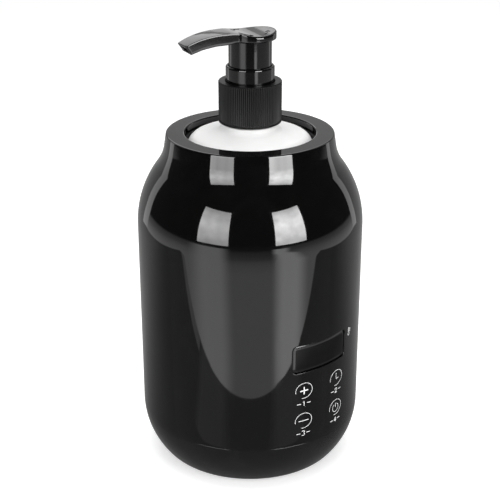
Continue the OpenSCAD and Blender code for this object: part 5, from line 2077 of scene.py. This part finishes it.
@dataclass
class Studio:
    """The floor, the light cards, the lamps, the world and the camera."""

    turn: float = 38.65
    away: float = 484.3
    eye: float = 299.2
    pitch: float = 22.65
    lens: float = 83.7
    sensor: float = 36.0
    nudge: float = -0.0003
    floor_half: float = 4.0
    wall: float = 1500.0
    strip: float = 1490.0
    height: float = 2600.0
    strip_near: float = 440.0
    strip_up: float = 0.9
    strip_bend: float = 380.0
    box_reach: float = 900.0
    box_rise: Flat = (52.0, 668.0)
    box_fade: Profile = ((52.0, 0.55), (200.0, 0.78), (380.0, 1.0), (520.0, 0.82), (668.0, 0.56))
    aim: float = 110.0
    dim: float = 0.36

    def spot(self, right: float, back: float, up: float) -> Point:
        """Turns a place seen from the camera into the frame's metres.

        Args:
            right: Millimetres to the camera's right of the axis.
            back: Millimetres behind the axis.
            up: Millimetres above the floor.

        Returns:
            The place.
        """
        a = math.radians(self.turn)
        x = right * math.cos(a) + back * math.sin(a)
        y = -right * math.sin(a) + back * math.cos(a)
        return (x * MM, y * MM, up * MM)

    def around(self, azimuth: float, reach: float, up: float) -> Point:
        """Gives a place by its angle from the camera's side, its distance and height."""
        a = math.radians(azimuth)
        return self.spot(reach * math.sin(a), -reach * math.cos(a), up)

    def sheet(self, name: str, rows: list[list[Point]], finish: Finish, seen: bool = False) -> None:
        """Makes a stage sheet from a grid of places.

        Args:
            name: The sheet's name.
            rows: Its places in metres, row by row.
            finish: Its finish.
            seen: Whether it is more than a reflection.
        """
        mesh = bpy.data.meshes.new(name)
        width = len(rows[0])
        corners = [r * width + c for r in range(len(rows) - 1) for c in range(width - 1)]
        faces = [(k, k + 1, k + 1 + width, k + width) for k in corners]
        mesh.from_pydata([place for row in rows for place in row], [], faces)
        mark_points(mesh, "across", [c / (width - 1) for _ in rows for c in range(width)])
        mesh.materials.append(finish.make())
        sheet = placed(name, mesh)
        if not seen:
            sheet.visible_camera = sheet.visible_diffuse = False
            sheet.visible_transmission = sheet.visible_shadow = False
        LOG.info("%s: stage", sheet.name)

    def screen(
        self, name: str, span: Flat, reach: float, rise: Flat, level: float,
        uneven: float = 0.1, fade: Profile = (),
    ) -> None:
        """Stands a curved card round the object.

        Args:
            name: The card's name.
            span: Its first and last angle from the camera's side.
            reach: Its distance.
            rise: Its lower and upper height.
            level: How bright it is.
            uneven: How much its brightness varies.
            fade: Heights with the share of that brightness.
        """
        angles = spread(*span, max(2, round(abs(span[1] - span[0]) / 4)))
        rows = [[self.around(a, reach, z) for a in angles] for z in rise]
        self.sheet(name, rows, Glow(name, level=level, uneven=uneven, fade=fade, along=(0.0, 0.0, 1.0)))

    def cove(self, name: str, span: Flat, level: float) -> None:
        """Runs a card along the floor and up in a round bend.

        Args:
            name: The card's name.
            span: Its first and last angle from the camera's side.
            level: How bright it is.
        """
        low, bend = self.strip_up, self.strip_bend
        path = [(self.strip_near, low), *arc((self.strip - bend, bend + low), bend, -90.0, 0.0, 16),
                (self.strip, self.height)]
        rows = [[self.around(a, reach, up) for a in spread(*span, 4)] for reach, up in path]
        self.sheet(name, rows, Glow(name, level=level))

    def fan(
        self, name: str, edges: Sequence[Point], up: float, level: float,
        fade: Profile = (), soft: Flat | None = None,
    ) -> None:
        """Lays a fan-shaped card on the floor round the object.

        Args:
            name: The card's name.
            edges: Its distances, each with the first and last angle from the camera's side.
            up: Its height above the floor.
            level: How bright it is nearest the object.
            fade: Distances with the share of that brightness.
            soft: The shares of its width over which its first and last side fade in.
        """
        rows = [[self.around(a, reach, up) for a in spread(first, last, 60)] for reach, first, last in edges]
        self.sheet(name, rows, Glow(name, level=level, fade=fade, soft=soft))

    def mat(self, name: str, corners: Profile, up: float, level: float, fade: Profile = ()) -> None:
        """Lays a flat card on the floor.

        Args:
            name: The card's name.
            corners: Its corners as right and back, in order round it.
            up: Its height above the floor.
            level: How bright it is.
            fade: Distances behind the axis with the share of that brightness.
        """
        a, b, c, d = (self.spot(x, y, up) for x, y in corners)
        along = tuple(v / MM for v in self.spot(0.0, 1.0, 0.0))
        self.sheet(name, [[a, b], [d, c]], Glow(name, level=level, fade=fade, along=along))

    def lamp(self, name: str, place: Point, size: Flat, power: float) -> None:
        """Hangs a soft lamp that faces the object.

        Args:
            name: The lamp's name.
            place: Where it hangs.
            size: Its width and height in metres.
            power: Its power in watts.
        """
        light = bpy.data.lights.new(name, "AREA")
        light.shape = "RECTANGLE"
        light.size, light.size_y = size
        light.energy = power
        holder = placed(name, light)
        holder.location = place
        aim = Vector((0.0, 0.0, self.aim * MM)) - Vector(place)
        holder.rotation_euler = aim.to_track_quat("-Z", "Y").to_euler()
        holder.visible_glossy = False

    def world(self) -> None:
        """Makes the world white to the eye and dim as a light."""
        world = bpy.data.worlds.new("studio_world")
        bpy.context.scene.world = world
        graph = Graph(world)
        graph.node("ShaderNodeOutputWorld", inputs={
            "Surface": graph.node("ShaderNodeBackground", inputs={
                "Color": grey(1.0), "Strength": self.dim + graph.seen() * (1.0 - self.dim),
            }),
        })

    def camera(self) -> None:
        """Sets the camera at the photograph's angle."""
        data = bpy.data.cameras.new("camera")
        data.lens = self.lens
        data.sensor_width = self.sensor
        data.shift_x = self.nudge
        data.clip_start = 0.01
        holder = placed("camera", data)
        holder.location = self.spot(0.0, -self.away, self.eye)
        holder.rotation_euler = (math.radians(90.0 - self.pitch), 0.0, -math.radians(self.turn))
        bpy.context.scene.camera = holder

    def table(self) -> None:
        """Lays the cards of the table top, lowest first."""
        self.fan(
            "table_top", ((60.0, -180.0, 180.0), (1600.0, -180.0, 180.0)), up=0.2, level=1.2,
            fade=((300.0, 1.0), (790.0, 0.4), (1250.0, 0.04)),
        )
        self.fan(
            "table_front",
            ((60.0, -21.0, 21.0), (190.0, -23.0, 21.5), (316.0, -27.5, 23.0), (790.0, -33.0, 30.0),
             (1600.0, -33.0, 30.0)),
            up=0.3, level=1.1,
            fade=((285.0, 1.0), (322.0, 0.66), (380.0, 0.43), (500.0, 0.3), (900.0, 0.08)),
        )
        self.fan(
            "left_glare",
            ((60.0, -55.0, -8.0), (190.0, -57.0, -12.0), (316.0, -62.0, -16.0), (790.0, -64.0, -17.0),
             (920.0, -64.0, -17.0)),
            up=0.4, level=2.15, soft=(0.43, 0.3),
        )
        self.fan(
            "right_glare",
            ((60.0, 13.5, 52.0), (185.0, 17.0, 54.0), (316.0, 18.5, 58.0), (480.0, 18.5, 50.0),
             (560.0, 18.5, 39.0), (850.0, 18.5, 40.0)),
            up=0.4, level=3.1, soft=(0.34, 0.4),
        )
        self.mat("table_mat", ((-350, -134), (350, -134), (420, 900), (-420, 900)), up=0.6, level=0.25)
        self.mat("table_back", ((-356, -40), (356, -40), (420, 900), (-420, 900)), up=0.8, level=0.42,
                 fade=((-40.0, 0.52), (130.0, 1.0)))
        for step, level in ((6.0, 0.3), (0.0, 0.36), (-6.0, 0.41)):
            for name, (left, right), (far_left, far_right) in (
                ("left_gleam", (-70, -20), (-132, -52)), ("right_gleam", (20, 65), (49, 130)),
            ):
                self.mat(name, ((left - step, -70), (right + step, -70), (far_right + step, -133),
                                (far_left - step, -133)), up=0.82 - step * 0.005, level=level)
        self.mat("left_edge", ((-300, -135), (-95, -135), (-95, -122), (-300, -122)), up=0.7, level=0.75)

    def room(self) -> None:
        """Stands the softboxes, the walls and the ceiling round the table."""
        full = (0.0, self.height)
        for name, span, level, uneven in (("left_softbox", (-51.5, -20.5), 14.0, 0.5),
                                          ("right_softbox", (24.0, 55.0), 26.0, 0.6)):
            self.screen(name, span, self.box_reach, self.box_rise, level, uneven, self.box_fade)
        self.screen("dark_room", (-119.0, 119.0), self.wall, full, level=0.05)
        for name, first, last in (("left", -119.0, -130.5), ("right", 119.0, 128.0)):
            self.cove(f"{name}_strip", (first, last), level=1.3)
            self.screen(f"{name}_wall", (last, math.copysign(166.0, last)), self.wall, full, level=0.4)
        self.fan("back_floor", ((self.strip_near, 128.0, 229.5), (self.strip, 128.0, 229.5)),
                 up=0.5, level=0.42)
        self.screen("back_wall", (166.0, 194.0), self.wall, (562.0, 660.0), level=0.55)
        self.screen("spout_card", (-155.0, -185.0), self.strip, (685.0, 1050.0), level=1.8)
        ceiling = ((-1600, -1600), (1600, -1600), (1600, 1600), (-1600, 1600))
        self.mat("ceiling", ceiling, up=self.height, level=0.06)

    def build(self) -> None:
        """Builds the stage."""
        ends = (-self.floor_half, self.floor_half)
        self.sheet("floor", [[(x, y, 0.0) for x in ends] for y in ends], PaleFloor("pale_floor"), seen=True)
        self.table()
        self.room()
        for name, angle, power in (("left_lamp", -36.0, 3.3), ("right_lamp", 40.0, 4.2)):
            self.lamp(name, self.around(angle, self.box_reach, 420.0), (0.5, 0.65), power)
        self.lamp("top_lamp", self.spot(0.0, 100.0, 1300.0), (1.2, 1.2), 12.5)
        self.world()
        self.camera()
        bpy.context.scene.view_settings.view_transform = "Standard"


def main() -> None:
    """Dresses the frame, builds the pieces and the stage."""
    logging.basicConfig(level=logging.INFO, format="%(name)s %(message)s")
    palette = Palette()
    palette.redress()
    shop = Workshop(palette)
    housing = Housing()
    housing.build(shop)
    Legend(housing).build(shop)
    Well().build(shop)
    Bottle().build(shop)
    Pump().build(shop)
    Studio().build()


if __name__ == "__main__":
    main()
